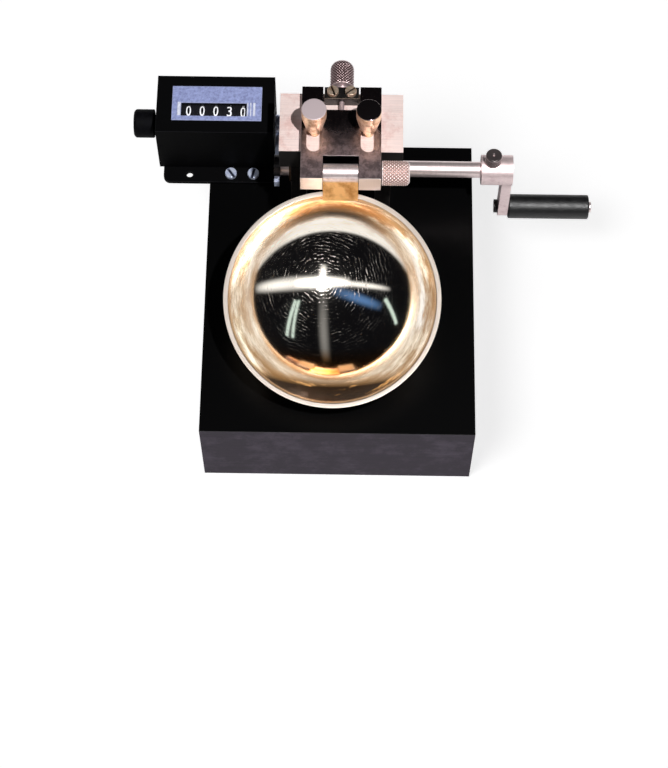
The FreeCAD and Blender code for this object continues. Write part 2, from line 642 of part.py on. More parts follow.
def cam():
    """A spiral with a low dwell and a sudden step, on a hub with a grub screw."""
    points = cam_profile()
    spiral = Part.BSplineCurve()
    spiral.interpolate(points)
    low = value("cam_low")
    dwell = math.radians(value("cam_dwell"))
    turns = (0, dwell / 2, dwell)
    corners = [FreeCAD.Vector(0, -low * math.cos(turn), -low * math.sin(turn)) for turn in turns]
    round_part = Part.Arc(*corners)
    flank = Part.LineSegment(corners[2], points[-1])
    wire = Part.Wire([spiral.toShape(), flank.toShape(), round_part.toShape()])
    disc = doc.addObject("Part::Feature", "cam_disc")
    disc.Shape = Part.Face(wire).extrude(FreeCAD.Vector(value("cam_width"), 0, 0))
    place(disc, "-cam_width / 2", "shaft_y", SHAFT_Z)
    hub = rod("X", "cam_hub_diameter", "cam_hub_length", "cam_width / 2", "shaft_y", SHAFT_Z)
    whole = "cam_width + cam_hub_length"
    bore = rod("X", "shaft_diameter", whole, "-cam_width / 2", "shaft_y", SHAFT_Z)
    x = "cam_width / 2 + cam_hub_length / 2"
    grub = rod("Z", "grub_diameter", "cam_hub_diameter / 2", x, "shaft_y", SHAFT_Z)
    piece("cam", cut(fuse(disc, hub), bore, grub))


def grub_screw(x):
    """A grub screw from the shaft's surface to a hair below the hub's."""
    start = f"{SHAFT_Z} + shaft_diameter / 2"
    length = "(cam_hub_diameter - shaft_diameter) / 2 - screw_clearance"
    screw = rod("Z", "grub_diameter", length, x, "shaft_y", start)
    floor = f"{start} + {length} - grub_diameter / 3"
    socket = rod("Z", "grub_diameter / 2", "grub_diameter / 3", x, "shaft_y", floor)
    return cut(screw, socket)


def camshaft():
    """The shaft, its two collars inside the cheeks, their grub screws and the counter's disc."""
    length = f"{ARM_RIGHT} + shaft_left"
    piece("camshaft", rod("X", "shaft_diameter", length, "-shaft_left", "shaft_y", SHAFT_Z))
    piece("cam_grub_screw", grub_screw("cam_width / 2 + cam_hub_length / 2"))
    collars = []
    grubs = []
    for side in (-1, 1):
        middle = f"{side} * ({CHEEK_X} - cheek_thickness - 3 * slide_gap - collar_length / 2)"
        x = f"{middle} - collar_length / 2"
        collar = rod("X", "cam_hub_diameter", "collar_length", x, "shaft_y", SHAFT_Z)
        bore = rod("X", "shaft_diameter", "collar_length", x, "shaft_y", SHAFT_Z)
        hole = rod("Z", "grub_diameter", "cam_hub_diameter / 2", middle, "shaft_y", SHAFT_Z)
        collars.append(cut(collar, bore, hole))
        grubs.append(grub_screw(middle))
    piece("shaft_collars", group(*collars))
    piece("collar_grub_screws", group(*grubs))
    top = f"{SHAFT_Z} + eccentric_throw"
    disc = rod("X", "eccentric_diameter", "eccentric_width", "-shaft_left", "shaft_y", top)
    bore = rod("X", "shaft_diameter", "eccentric_width", "-shaft_left", "shaft_y", SHAFT_Z)
    piece("counter_eccentric", cut(disc, bore))


def crank():
    """The hub and arm in one, the thumb screw in the hub, and the handle on its spindle."""
    hub = rod("X", "hub_diameter", "hub_length", "hub_left", "shaft_y", SHAFT_Z)
    left = f"{ARM_RIGHT} - arm_thickness"
    arm = box(left, "shaft_y - arm_width / 2", HANDLE_Z, "arm_thickness", "arm_width", "crank_throw")
    end = rod("X", "arm_width", "arm_thickness", left, "shaft_y", HANDLE_Z)
    bore = rod("X", "shaft_diameter", "hub_length", "hub_left", "shaft_y", SHAFT_Z)
    eye = rod("X", "spindle_diameter", "arm_thickness", left, "shaft_y", HANDLE_Z)
    thumb_x = "hub_left + thumb_from_hub"
    thumb = "thumb_stem_diameter + 2 * running_clearance"
    hole = rod("Z", thumb, "hub_diameter / 2", thumb_x, "shaft_y", SHAFT_Z)
    piece("crank_arm", cut(fuse(hub, arm, end), bore, eye, hole))
    stem = "(hub_diameter / 2 - shaft_diameter / 2 + slide_gap)"
    seat = f"{SHAFT_Z} + hub_diameter / 2 + 3 * slide_gap"
    screw = ("thumb_diameter", "thumb_height", "thumb_stem_diameter", stem)
    piece("crank_thumb_screw", headed("Z", *screw, thumb_x, "shaft_y", seat))
    nut_left = f"{left} - nut_thickness"
    nut = rod("X", "nut_diameter", "nut_thickness", nut_left, "shaft_y", HANDLE_Z)
    nut_bore = rod("X", "spindle_diameter", "nut_thickness", nut_left, "shaft_y", HANDLE_Z)
    piece("spindle_nut", cut(nut, nut_bore))
    handle_end = f"{HANDLE_LEFT} + handle_length + handle_gap"
    stem = f"({handle_end} - ({nut_left}))"
    spindle = ("spindle_head_diameter", "spindle_head_length", "spindle_diameter", stem)
    piece("handle_spindle", headed("X", *spindle, handle_end, "shaft_y", HANDLE_Z))
    edge = "handle_diameter / 2"
    bevel = "handle_bevel"
    bore = "spindle_diameter / 2 + running_clearance"
    points = [
        (bore, 0),
        (f"{edge} - {bevel}", 0),
        (edge, bevel),
        (edge, f"handle_length - {bevel}"),
        (f"{edge} - {bevel}", "handle_length"),
        (bore, "handle_length"),
    ]
    piece("crank_handle", turned("X", points, HANDLE_LEFT, "shaft_y", HANDLE_Z))


def counter_case():
    """A folded sheet case that is open below, its base plate with the flange, the label and the glass."""
    x = CASE_LEFT
    outside = box(x, "case_front", CASE_BOTTOM, "case_width", "case_depth", "case_height")
    width = "case_width - 2 * case_wall"
    depth = "case_depth - 2 * case_wall"
    height = "case_height - case_wall"
    inside = box(f"{x} + case_wall", "case_front + case_wall", CASE_BOTTOM, width, depth, height)
    light = box(WINDOW_X, WINDOW_Y, f"{CASE_TOP} - case_wall", "window_width", "window_depth", "case_wall")
    bore = "axle_diameter + 2 * running_clearance"
    axle = rod("X", bore, "case_wall", x, AXLE_Y, AXLE_Z)
    pin = rod("X", "lever_pin_diameter", "case_wall", f"{CASE_RIGHT} - case_wall", AXLE_Y, AXLE_Z)
    pinions = rod("X", bore, "case_width", x, PINION_Y, f"{AXLE_Z} - pinion_drop")
    piece("counter_case", cut(outside, inside, light, axle, pin, pinions))
    front = "(case_front - foot_reach)"
    left = f"({CASE_LEFT} + foot_inset)"
    corner = "foot_corner"
    points = [
        (f"{left} + {corner}", front),
        (CASE_RIGHT, front),
        (CASE_RIGHT, "case_front + case_depth"),
        (left, "case_front + case_depth"),
        (left, f"{front} + {corner}"),
        (f"{left} + {corner}", f"{front} + {corner}"),
    ]
    plate = padded("XY", points, "foot_thickness", 0, 0, BASE_TOP)
    turn = rod("Z", f"2 * {corner}", "foot_thickness", f"{left} + {corner}", f"{front} + {corner}", BASE_TOP)
    spare_x = f"{CASE_LEFT} + spare_hole_inset"
    holes = [rod("Z", "spare_hole_diameter", "foot_thickness", spare_x, FLANGE_HOLE_Y, BASE_TOP)]
    screws = []
    for x in counter_screw_places():
        bore = "counter_screw_diameter + 2 * screw_clearance"
        holes.append(rod("Z", bore, "foot_thickness", x, FLANGE_HOLE_Y, BASE_TOP))
        stem = "counter_screw_depth + foot_thickness"
        head = ("counter_screw_head", "counter_screw_head_height")
        screws.append(headed("Z", *head, "counter_screw_diameter", stem, x, FLANGE_HOLE_Y, CASE_BOTTOM))
    piece("counter_base_plate", cut(fuse(plate, turn), *holes))
    piece("counter_screws", group(*screws))
    label = box(LABEL_X, LABEL_Y, CASE_TOP, "label_width", "label_depth", "label_thickness")
    light = box(WINDOW_X, WINDOW_Y, CASE_TOP, "window_width", "window_depth", "label_thickness")
    piece("counter_label", cut(label, light))
    lip = "window_lip"
    size = (f"window_width + 2 * {lip}", f"window_depth + 2 * {lip}", "glass_thickness / 2")
    floor = f"{CASE_TOP} - case_wall - glass_thickness / 2"
    flange = box(f"{WINDOW_X} - {lip}", f"{WINDOW_Y} - {lip}", floor, *size)
    size = ("window_width", "window_depth", "case_wall / 2")
    pane = box(WINDOW_X, WINDOW_Y, f"{CASE_TOP} - case_wall", *size)
    piece("counter_window", fuse(flange, pane))


def counter_wheels():
    """Five digit wheels on the reset knob's axle, and the carry pinions on a shaft behind them."""
    for number in range(5):
        x = f"{FIRST_WHEEL_X} + {number} * wheel_pitch - wheel_width / 2"
        rim = rod("X", "2 * wheel_radius", "wheel_width", x, AXLE_Y, AXLE_Z)
        bore = rod("X", "axle_diameter + 2 * running_clearance", "wheel_width", x, AXLE_Y, AXLE_Z)
        piece(f"digit_wheel_{number + 1}", cut(rim, bore))
    end = f"{CASE_RIGHT} - case_wall - slide_gap"
    start = f"({CASE_LEFT} - reset_collar_length)"
    length = f"({end}) - {start}"
    piece("wheel_axle", rod("X", "axle_diameter", length, start, AXLE_Y, AXLE_Z))
    shaft_z = f"{AXLE_Z} - pinion_drop"
    piece("pinion_shaft", rod("X", "axle_diameter", "case_width", CASE_LEFT, PINION_Y, shaft_z))
    pinions = []
    for number in range(4):
        x = f"{FIRST_WHEEL_X} + ({number} + 0.5) * wheel_pitch - pinion_width / 2"
        gear = rod("X", "2 * pinion_radius", "pinion_width", x, PINION_Y, shaft_z)
        pinions.append(cut(gear, rod("X", "axle_diameter", "pinion_width", x, PINION_Y, shaft_z)))
    piece("carry_pinions", group(*pinions))


def reset_knob():
    """A plain knob on the left, with a collar towards the case."""
    edge = "reset_diameter / 2"
    collar = "(reset_collar_length - 3 * slide_gap)"
    points = [
        (0, 0),
        (f"{edge} - reset_bevel", 0),
        (edge, "reset_bevel"),
        (edge, "reset_length"),
        ("reset_collar_diameter / 2", "reset_length"),
        ("reset_collar_diameter / 2", f"reset_length + {collar}"),
        ("axle_diameter / 2", f"reset_length + {collar}"),
        ("axle_diameter / 2", "reset_length"),
        (0, "reset_length"),
    ]
    x = f"{CASE_LEFT} - reset_collar_length - reset_length"
    piece("reset_knob", turned("X", points, x, AXLE_Y, AXLE_Z))


def counter_lever():
    """The lever beside the case: a hub on a pin, and a finger that lies under the camshaft's disc."""
    reach = "(eccentric_diameter / 2 + eccentric_throw + lever_gap)"
    top = f"({SHAFT_Z} - {reach})"
    bottom = f"({top} - lever_finger_depth)"
    hub = "lever_hub_diameter / 2"
    bend = f"(shaft_y + {reach} + lever_finger_depth)"
    points = [
        ("(shaft_y - lever_reach)", top),
        ("(shaft_y - lever_reach)", bottom),
        (bend, bottom),
        (AXLE_Y, f"({AXLE_Z} - {hub})"),
        (AXLE_Y, AXLE_Z),
        (f"({AXLE_Y} - {hub})", AXLE_Z),
        (f"({bend} - lever_bend_inset)", top),
    ]
    arm = padded("YZ", points, "lever_thickness", LEVER_X, 0, 0)
    boss = rod("X", "lever_hub_diameter", "lever_thickness", LEVER_X, AXLE_Y, AXLE_Z)
    bore = "lever_pin_diameter + 2 * running_clearance"
    hole = rod("X", bore, "lever_thickness", LEVER_X, AXLE_Y, AXLE_Z)
    piece("counter_lever", cut(fuse(arm, boss), hole))
    stem = "(case_wall + 2 * lever_gap + lever_thickness)"
    head = ("lever_pin_head", "lever_pin_head_length")
    x = f"{LEVER_X} + lever_thickness + lever_gap"
    piece("lever_pin", headed("X", *head, "lever_pin_diameter", stem, x, AXLE_Y, AXLE_Z))


def check_and_export():
    """Stops on any failed object, then writes each sub-part to its own file."""
    doc.recompute()
    failed = [item.Label for item in doc.Objects if {"Invalid", "Error"} & set(item.State)]
    failed += [item.Label for item in pieces if item.Shape.isNull() or not item.Shape.isValid()]
    if failed:
        raise RuntimeError("failed: " + ", ".join(failed))
    os.makedirs("parts", exist_ok=True)
    for item in pieces:
        item.Shape.exportStep(f"parts/{item.Label}.step")
        print(f"{item.Label}: {len(item.Shape.Solids)} solid(s), {item.Shape.Volume:.0f} mm3")


base_block()
frame()
bushes()
adjuster()
adjusting_plate()
clamp_screws()
pivot_pin()
hanger(cup())
cam()
camshaft()
crank()
counter_case()
counter_wheels()
reset_knob()
counter_lever()
check_and_export()
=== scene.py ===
import math

import bmesh
import bpy
import numpy as np
from mathutils import Matrix, Vector


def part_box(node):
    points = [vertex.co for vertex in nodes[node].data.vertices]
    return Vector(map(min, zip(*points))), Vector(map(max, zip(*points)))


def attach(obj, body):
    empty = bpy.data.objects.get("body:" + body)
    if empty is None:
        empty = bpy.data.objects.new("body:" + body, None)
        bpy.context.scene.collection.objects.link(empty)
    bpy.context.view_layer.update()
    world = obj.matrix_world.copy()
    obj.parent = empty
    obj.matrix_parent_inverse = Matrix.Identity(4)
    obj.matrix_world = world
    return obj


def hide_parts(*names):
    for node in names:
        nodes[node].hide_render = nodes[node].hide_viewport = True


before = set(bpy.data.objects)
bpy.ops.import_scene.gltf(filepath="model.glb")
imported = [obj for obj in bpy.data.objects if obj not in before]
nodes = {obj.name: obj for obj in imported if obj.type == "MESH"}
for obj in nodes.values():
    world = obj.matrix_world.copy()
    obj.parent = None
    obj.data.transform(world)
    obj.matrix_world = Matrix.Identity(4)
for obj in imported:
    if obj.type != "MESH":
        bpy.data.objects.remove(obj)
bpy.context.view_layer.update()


# Base: one block of hard rubber, sawn to size and polished on top.
# Its sides keep the dull streaks of the saw, and its edges are only just broken.
def softened(name, node, rounding):
    """A copy of a CAD solid: its loose triangles joined into flat faces, its edges rounded in two steps.

    The faces that the rounding makes carry 1 in the face attribute edge, and the others carry 0.
    """
    mesh = nodes[node].data.copy()
    mesh.name = name
    shape = bmesh.new()
    shape.from_mesh(mesh)
    bmesh.ops.remove_doubles(shape, verts=shape.verts, dist=1e-6)
    bmesh.ops.dissolve_limit(shape, angle_limit=math.radians(0.5), verts=shape.verts, edges=shape.edges)
    least_turn = math.radians(30)
    corners = [edge for edge in shape.edges if edge.is_manifold and edge.calc_face_angle() > least_turn]
    mark = shape.faces.layers.float.new("edge")
    made = bmesh.ops.bevel(
        shape, geom=corners, offset=rounding, segments=2, profile=0.5, affect="EDGES", clamp_overlap=True
    )
    for face in made["faces"]:
        face[mark] = 1
    shape.to_mesh(mesh)
    shape.free()
    return mesh


def set_in(name, mesh, material, body, slot, *replaced, crease=50):
    """Makes a mesh a smooth-shaded piece that rides on a body and stands for CAD nodes."""
    mesh.shade_smooth()
    mesh.set_sharp_from_angle(angle=math.radians(crease))
    mesh.materials.clear()
    mesh.materials.append(material)
    item = bpy.data.objects.new(name, mesh)
    bpy.context.scene.collection.objects.link(item)
    weighting = item.modifiers.new("even_normals", "WEIGHTED_NORMAL")
    weighting.keep_sharp = True
    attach(item, body)
    if replaced:
        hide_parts(*replaced)
    return item


def set_in_softened(name, node, rounding, material, body, slot):
    """Puts a CAD solid's softened copy in its place."""
    set_in(name, softened(name, node, rounding), material, body, slot, node)


def add(tree, kind, inputs=None, **settings):
    """A shader node. Each input is a plain value or the socket that feeds it."""
    item = tree.nodes.new("ShaderNode" + kind)
    for name, setting in settings.items():
        setattr(item, name, setting)
    for name, source in (inputs or {}).items():
        if isinstance(source, bpy.types.NodeSocket):
            tree.links.new(source, item.inputs[name])
        else:
            item.inputs[name].default_value = source
    return item


def maths(tree, operation, *values, **settings):
    """The result of a Math node on plain numbers or the sockets that feed it."""
    return add(tree, "Math", dict(enumerate(values)), operation=operation, **settings).outputs[0]


def noise(tree, place, scale, detail, roughness):
    """Noise from 0 to 1 at a place. The scale is per metre, and detail counts the finer steps in it."""
    inputs = {"Vector": place, "Scale": scale, "Detail": detail, "Roughness": roughness}
    return add(tree, "TexNoise", inputs).outputs[0]


def blend(tree, share, first, second):
    """The first colour, turning into the second as the share goes from 0 to 1."""
    return add(tree, "Mix", {0: share, 6: first, 7: second}, data_type="RGBA").outputs[2]


def own_place(tree):
    """The place on the piece itself, which moves with it."""
    return add(tree, "TexCoord").outputs["Object"]


def blank_group(name, inputs, outputs):
    """An empty shader node group, the sockets that come into it and the sockets that leave it."""
    group = bpy.data.node_groups.new(name, "ShaderNodeTree")
    for way, sockets in (("INPUT", inputs), ("OUTPUT", outputs)):
        for socket, kind in sockets.items():
            group.interface.new_socket(socket, in_out=way, socket_type="NodeSocket" + kind)
    return group, group.nodes.new("NodeGroupInput").outputs, group.nodes.new("NodeGroupOutput").inputs


def worked_surface_group():
    """Grain lines, blotches and worn edges.

    Grain is noise on the place times Grain Scale, so a small number draws it out along that axis.
    Blotches are coarse noise that fades in from 0.72 minus Blotch Cover to 0.22 above that. Wear is
    the edge attribute times the coarse noise.
    """
    group, given, result = blank_group(
        "worked_surface",
        {
            "Place": "Vector", "Colour": "Color", "Blotch Colour": "Color", "Worn Colour": "Color",
            "Grain Scale": "Vector", "Grain Height": "Float", "Grain Tone": "Float",
            "Blotch Scale": "Float", "Blotch Cover": "Float",
            "Roughness": "Float", "Grain Roughness": "Float", "Blotch Roughness": "Float",
        },
        {"Colour": "Color", "Roughness": "Float", "Normal": "Vector"},
    )
    stretched = add(group, "VectorMath", {0: given["Place"], 1: given["Grain Scale"]}, operation="MULTIPLY")
    grain = noise(group, stretched.outputs[0], 1.0, 5.0, 0.65)
    coarse = noise(group, given["Place"], given["Blotch Scale"], 7.0, 0.7)
    least = maths(group, "SUBTRACT", 0.72, given["Blotch Cover"])
    most = maths(group, "ADD", least, 0.22)
    blotch = add(group, "MapRange", {
        "Value": coarse, "From Min": least, "From Max": most,
    }, interpolation_type="SMOOTHSTEP").outputs[0]
    blotched = blend(group, blotch, given["Colour"], given["Blotch Colour"])
    away = maths(group, "SUBTRACT", grain, 0.5)
    tone = maths(group, "MULTIPLY_ADD", away, given["Grain Tone"], 1.0)
    toned = add(group, "VectorMath", {0: blotched, "Scale": tone}, operation="SCALE").outputs[0]
    edge = add(group, "Attribute", attribute_name="edge").outputs["Fac"]
    worn = blend(group, maths(group, "MULTIPLY", edge, coarse), toned, given["Worn Colour"])
    rough = maths(group, "MULTIPLY_ADD", away, given["Grain Roughness"], given["Roughness"])
    rougher = maths(group, "MULTIPLY_ADD", blotch, given["Blotch Roughness"], rough, use_clamp=True)
    bump = add(group, "Bump", {"Strength": 1.0, "Distance": given["Grain Height"], "Height": grain})
    group.links.new(worn, result["Colour"])
    group.links.new(rougher, result["Roughness"])
    group.links.new(bump.outputs[0], result["Normal"])
    return group


worked_surface = worked_surface_group()


def material_of(name, **plain):
    """A material with only a Principled BSDF, whose plain values are set on its own sockets."""
    material = bpy.data.materials.new(name)
    material.use_nodes = True
    shader = material.node_tree.nodes["Principled BSDF"]
    for socket, setting in plain.items():
        shader.inputs[socket.replace("_", " ")].default_value = setting
    return material, material.node_tree, shader


def worked(name, colour, blotch, worn, grain=(300, 300, 300), height=2e-6, tone=0.3, size=120, cover=0.3,
           rough=0.4, grain_rough=0.2, blotch_rough=0.1, place=None, **plain):
    """A material with the worked surface on it. The grain's scale and size are per metre."""
    material, tree, shader = material_of(name, **plain)
    surface = add(tree, "Group", node_tree=worked_surface)
    tree.links.new(place(tree) if place else own_place(tree), surface.inputs["Place"])
    settings = {
        "Colour": (*colour, 1), "Blotch Colour": (*blotch, 1), "Worn Colour": (*worn, 1),
        "Grain Scale": grain, "Grain Height": height, "Grain Tone": tone, "Blotch Scale": size,
        "Blotch Cover": cover, "Roughness": rough, "Grain Roughness": grain_rough,
        "Blotch Roughness": blotch_rough,
    }
    for socket, setting in settings.items():
        surface.inputs[socket].default_value = setting
    tree.links.new(surface.outputs["Colour"], shader.inputs["Base Color"])
    tree.links.new(surface.outputs["Roughness"], shader.inputs["Roughness"])
    tree.links.new(surface.outputs["Normal"], shader.inputs["Normal"])
    return material


def ramp(tree, source, low, high, most=1.0):
    """A mask that rises evenly from 0 at low to most at high. Low may be the larger of the two."""
    inputs = {"Value": source, "From Min": low, "From Max": high, "To Max": most}
    return add(tree, "MapRange", inputs).outputs[0]


def all_of(tree, *masks):
    """Where every mask holds: their product."""
    product = masks[0]
    for mask in masks[1:]:
        product = maths(tree, "MULTIPLY", product, mask)
    return product


def place_on(tree):
    """The piece's own X, Y and Z."""
    return add(tree, "SeparateXYZ", {0: own_place(tree)}).outputs


def overlay(material, mask, colour=None, rough=None, metal=None):
    """Lays a colour, a roughness or a share of metal over the finish, as far as the mask says."""
    tree = material.node_tree
    shader = tree.nodes["Principled BSDF"]
    for socket, given, below_at, given_at, kind, result in (
        ("Base Color", colour and (*colour, 1), 6, 7, "RGBA", 2),
        ("Roughness", rough, 2, 3, "FLOAT", 0),
        ("Metallic", metal, 2, 3, "FLOAT", 0),
    ):
        if given is None:
            continue
        target = shader.inputs[socket]
        below = target.links[0].from_socket if target.is_linked else target.default_value
        mixed = add(tree, "Mix", {0: mask, below_at: below, given_at: given}, data_type=kind)
        tree.links.new(mixed.outputs[result], target)


def rubber():
    """Streaked dull sides and a polished black top."""
    material = worked(
        "rubber", (0.055, 0.045, 0.060), (0.115, 0.098, 0.125), (0.12, 0.11, 0.13), grain=(35, 120, 650),
        height=4e-5, tone=1.1, size=60, cover=0.28, rough=0.62, grain_rough=0.3, blotch_rough=0.1,
        Specular_IOR_Level=0.1,
    )
    tree = material.node_tree
    polished = ramp(tree, place_on(tree)["Z"], 0.0494, 0.0499)
    overlay(material, polished, (0.001, 0.001, 0.0011), 0.3)
    return material


set_in_softened("rubber_block", "base_block", 0.0004, rubber(), "frame", "hard_rubber")


# Frame: two steel cheeks, coloured near black as painted shade under the plate, stand on the block and
# carry the shaft, with a black block across them whose top is milled bright. Long bolts from below hold
# all of it, and bronze bushes, darkened as painted shade, are pressed into the cheeks.
milled = worked(
    "milled_steel", (0.92, 0.76, 0.72), (0.76, 0.55, 0.51), (0.95, 0.88, 0.86), grain=(60, 2600, 2600),
    height=5e-6, tone=0.45, size=90, cover=0.27, rough=0.60, grain_rough=0.25, blotch_rough=0.08,
    Metallic=0.70,
)
top_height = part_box("frame_block")[1][2]
up = place_on(milled.node_tree)["Z"]
below_top = ramp(milled.node_tree, up, top_height - 0.0003, top_height - 0.0005)
overlay(milled, below_top, (0.006, 0.005, 0.005), 0.5, 0.0)
# The cheeks' near-black colour is painted shade under the plate.
shaded_cheek_steel = worked(
    "cheek_steel_painted_shade", (0.020, 0.017, 0.017), (0.010, 0.008, 0.008), (0.20, 0.16, 0.15), grain=(900, 900, 60),
    height=5e-6, tone=0.5, size=120, cover=0.35, rough=0.45, grain_rough=0.2, Metallic=0.5,
)
for side in ("left", "right"):
    set_in_softened("cheek_" + side, "frame_cheek_" + side, 0.0003, shaded_cheek_steel, "frame", "milled_steel")
set_in_softened("slide_block", "frame_block", 0.00025, milled, "frame", "milled_steel")


def give(material, *names):
    """Puts a material on CAD nodes that are shown as they are."""
    for name in names:
        for slot in nodes[name].material_slots:
            slot.material = material


dark_steel = worked(
    "dark_steel", (0.10, 0.095, 0.10), (0.05, 0.045, 0.05), (0.35, 0.32, 0.31), grain=(900, 900, 900),
    height=3e-6, tone=0.5, size=200, rough=0.38, Metallic=1.0,
)
# The bushes' dark colour is painted shade.
bronze = worked(
    "bronze", (0.10, 0.06, 0.035), (0.05, 0.03, 0.02), (0.4, 0.27, 0.16), grain=(3000, 200, 200),
    height=3e-6, tone=0.4, size=250, rough=0.45, Metallic=0.9,
)
give(dark_steel, "frame_bolts")
give(bronze, "camshaft_bush_left", "camshaft_bush_right")


# Adjusting plate: ground and polished steel that slides on the block, with two ears for the pivot pin.
# Its front half has gone hazy with handling, and its rear half is still a dark mirror. The ears' front
# ends are painted pale as a highlight, and the front notch is painted black inside as shade.
def hazy_plate():
    """Smooth and dark at the back, satin and mauve at the front: noise bends the border between them.

    The ears' front ends are painted pale as a highlight, and the front notch is painted black
    inside as shade.
    """
    material = worked(
        "polished_steel", (0.46, 0.35, 0.36), (0.22, 0.17, 0.18), (0.85, 0.76, 0.74), grain=(700, 900, 700),
        height=2e-6, tone=0.5, size=260, cover=0.34, rough=0.14, grain_rough=0.1, blotch_rough=0.06,
        Metallic=1.0,
    )
    tree = material.node_tree
    part = place_on(tree)
    uneven = noise(tree, own_place(tree), 220.0, 8.0, 0.85)
    border = maths(tree, "MULTIPLY_ADD", uneven, 0.03, part["Y"])
    clear_behind, hazy_ahead = 0.067, 0.050
    overlay(material, ramp(tree, border, clear_behind, hazy_ahead), rough=0.44)

    def under(source, limit):
        """A mask that holds below a limit, with a border 0.2 mm wide."""
        return ramp(tree, source, limit, limit - 0.0002)

    notch_back, notch_side, notch_top, ear_ends = 0.0337, 0.0084, 0.1112, 0.0220
    notch_shade = all_of(
        tree, under(part["Y"], notch_back), under(maths(tree, "ABSOLUTE", part["X"]), notch_side),
        under(part["Z"], notch_top),
    )
    # The black inside the notch is painted shade.
    overlay(material, notch_shade, (0.004, 0.003, 0.003), 0.4)
    # The ears' pale front ends are a painted highlight.
    overlay(material, under(part["Y"], ear_ends), (0.94, 0.85, 0.86), 0.30)
    return material


set_in_softened("slide_plate", "adjusting_plate", 0.0002, hazy_plate(), "plate", "polished_steel")


# Clamp screws: two tall turned screws with a straight rim, a taper to a narrow foot and a threaded stem.
# Their tops are faced off on the lathe and their sides have gone golden. The left top is painted pale as
# light, and the right top dark as shade.
def corners_rounded(outline, radius, steps=4):
    """An outline whose corners are curves.

    Each corner P turns into points (1-t)^2 A + 2t(1-t) P + t^2 B. A and B lie on its two sides, a
    radius away from it or at the side's middle, whichever is nearer. The two ends stay as they are.
    """
    outline = np.asarray(outline, float)
    before, corner, after = outline[:-2], outline[1:-1], outline[2:]
    t = np.linspace(0, 1, steps)[None, :, None]

    def towards(other):
        """A point on the way from each corner to the other end of its side."""
        span = other - corner
        length = np.linalg.norm(span, axis=1, keepdims=True)
        return (corner + span * np.minimum(radius / length, 0.5))[:, None, :]

    middle = corner[:, None, :]
    curves = (1 - t) ** 2 * towards(before) + 2 * t * (1 - t) * middle + t ** 2 * towards(after)
    return np.vstack([outline[:1], curves.reshape(-1, 2), outline[-1:]])


def filled_in(outline, spacing):
    """The same outline with extra points, so that no two are further apart than the spacing."""
    steps = np.linalg.norm(np.diff(outline, axis=0), axis=1)
    length = np.concatenate([[0], np.cumsum(steps)])
    stations = np.union1d(length, np.arange(0, length[-1], spacing))
    return np.stack([np.interp(stations, length, outline[:, column]) for column in (0, 1)], axis=1)


def grid_mesh(name, points, groove=None):
    """A closed skin over rows of points that each run once round. Poles shrink to a point."""
    rows, columns = points.shape[:2]
    index = np.arange(rows * columns).reshape(rows, columns)
    across = np.roll(index, -1, axis=1)
    faces = np.stack([index[:-1], across[:-1], across[1:], index[1:]], axis=-1).reshape(-1, 4)
    mesh = bpy.data.meshes.new(name)
    mesh.from_pydata(points.reshape(-1, 3).tolist(), [], faces.tolist())
    if groove is not None:
        mesh.attributes.new("groove", "FLOAT", "POINT").data.foreach_set("value", groove.ravel())
    shape = bmesh.new()
    shape.from_mesh(mesh)
    bmesh.ops.remove_doubles(shape, verts=shape.verts, dist=1e-7)
    bmesh.ops.dissolve_degenerate(shape, dist=1e-8, edges=shape.edges)
    bmesh.ops.recalc_face_normals(shape, faces=shape.faces)
    shape.to_mesh(mesh)
    shape.free()
    return mesh


AXES = {"X": (1, 2, 0), "Y": (2, 0, 1), "Z": (0, 1, 2)}


def lathe(name, outline, axis, start, columns=96, knurl=None):
    """A profile of (radius, distance along the axis) spun round an axis through the start point.

    A point is start + radius (cos a, sin a) across the axis + distance along it. On a knurled stretch,
    given as (first, last, count, depth), the radius loses depth times 1 - min(T(u), T(v)). T is a
    triangle wave, and u and v are count turns round the axis plus and minus the distance over the
    pitch: two crossed sets of grooves. They fade in over half a pitch, and only cut where the radius
    is over 0.6 of the largest. The vertex attribute groove holds the share of the depth that is lost.
    """
    radius, along = np.asarray(outline, float).T[:, :, None]
    angle = np.linspace(0, 2 * np.pi, columns, endpoint=False)[None, :]
    radius = np.repeat(radius, columns, axis=1)
    groove = np.zeros_like(radius)
    if knurl:
        first, last, count, depth = knurl
        pitch = 2 * np.pi * radius.max() / count
        turns = count * angle / (2 * np.pi)
        waves = [1 - np.abs(2 * ((turns + sign * along / pitch) % 1) - 1) for sign in (1, -1)]
        fade = np.clip((along - first) / pitch, 0, 1) * np.clip((last - along) / pitch, 0, 1)
        groove = (1 - np.minimum(*waves)) * np.minimum(fade * 2, 1) * (radius > 0.6 * radius.max())
        radius = radius - depth * groove
    points = np.zeros((*radius.shape, 3))
    first_axis, second_axis, main_axis = AXES[axis]
    points[..., first_axis] = radius * np.cos(angle)
    points[..., second_axis] = radius * np.sin(angle)
    points[..., main_axis] = along
    return grid_mesh(name, points + np.asarray(start, float), groove)


def golden_screw(name, top_rough, top_metal, painted_top_colour):
    """Golden-sided turned steel; the top's given colour paints light on one screw and shade on the other."""
    material = worked(
        name, (0.80, 0.57, 0.38), (0.50, 0.28, 0.14), (0.9, 0.8, 0.75), grain=(150, 150, 2600),
        height=4e-6, tone=0.6, size=300, cover=0.3, rough=0.36, Metallic=0.8,
    )
    tree = material.node_tree
    top_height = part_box("clamp_screw_left")[1][2]
    top = ramp(tree, place_on(tree)["Z"], top_height - 0.0003, top_height - 0.0001)
    overlay(material, top, painted_top_colour, top_rough, top_metal)
    return material


clamp_outline = np.array([
    (0, -0.0141), (0.0024, -0.0141), (0.0024, 0.0001), (0.0037, 0.0001),
    (0.0056, 0.0097), (0.0056, 0.0152), (0, 0.0152),
])
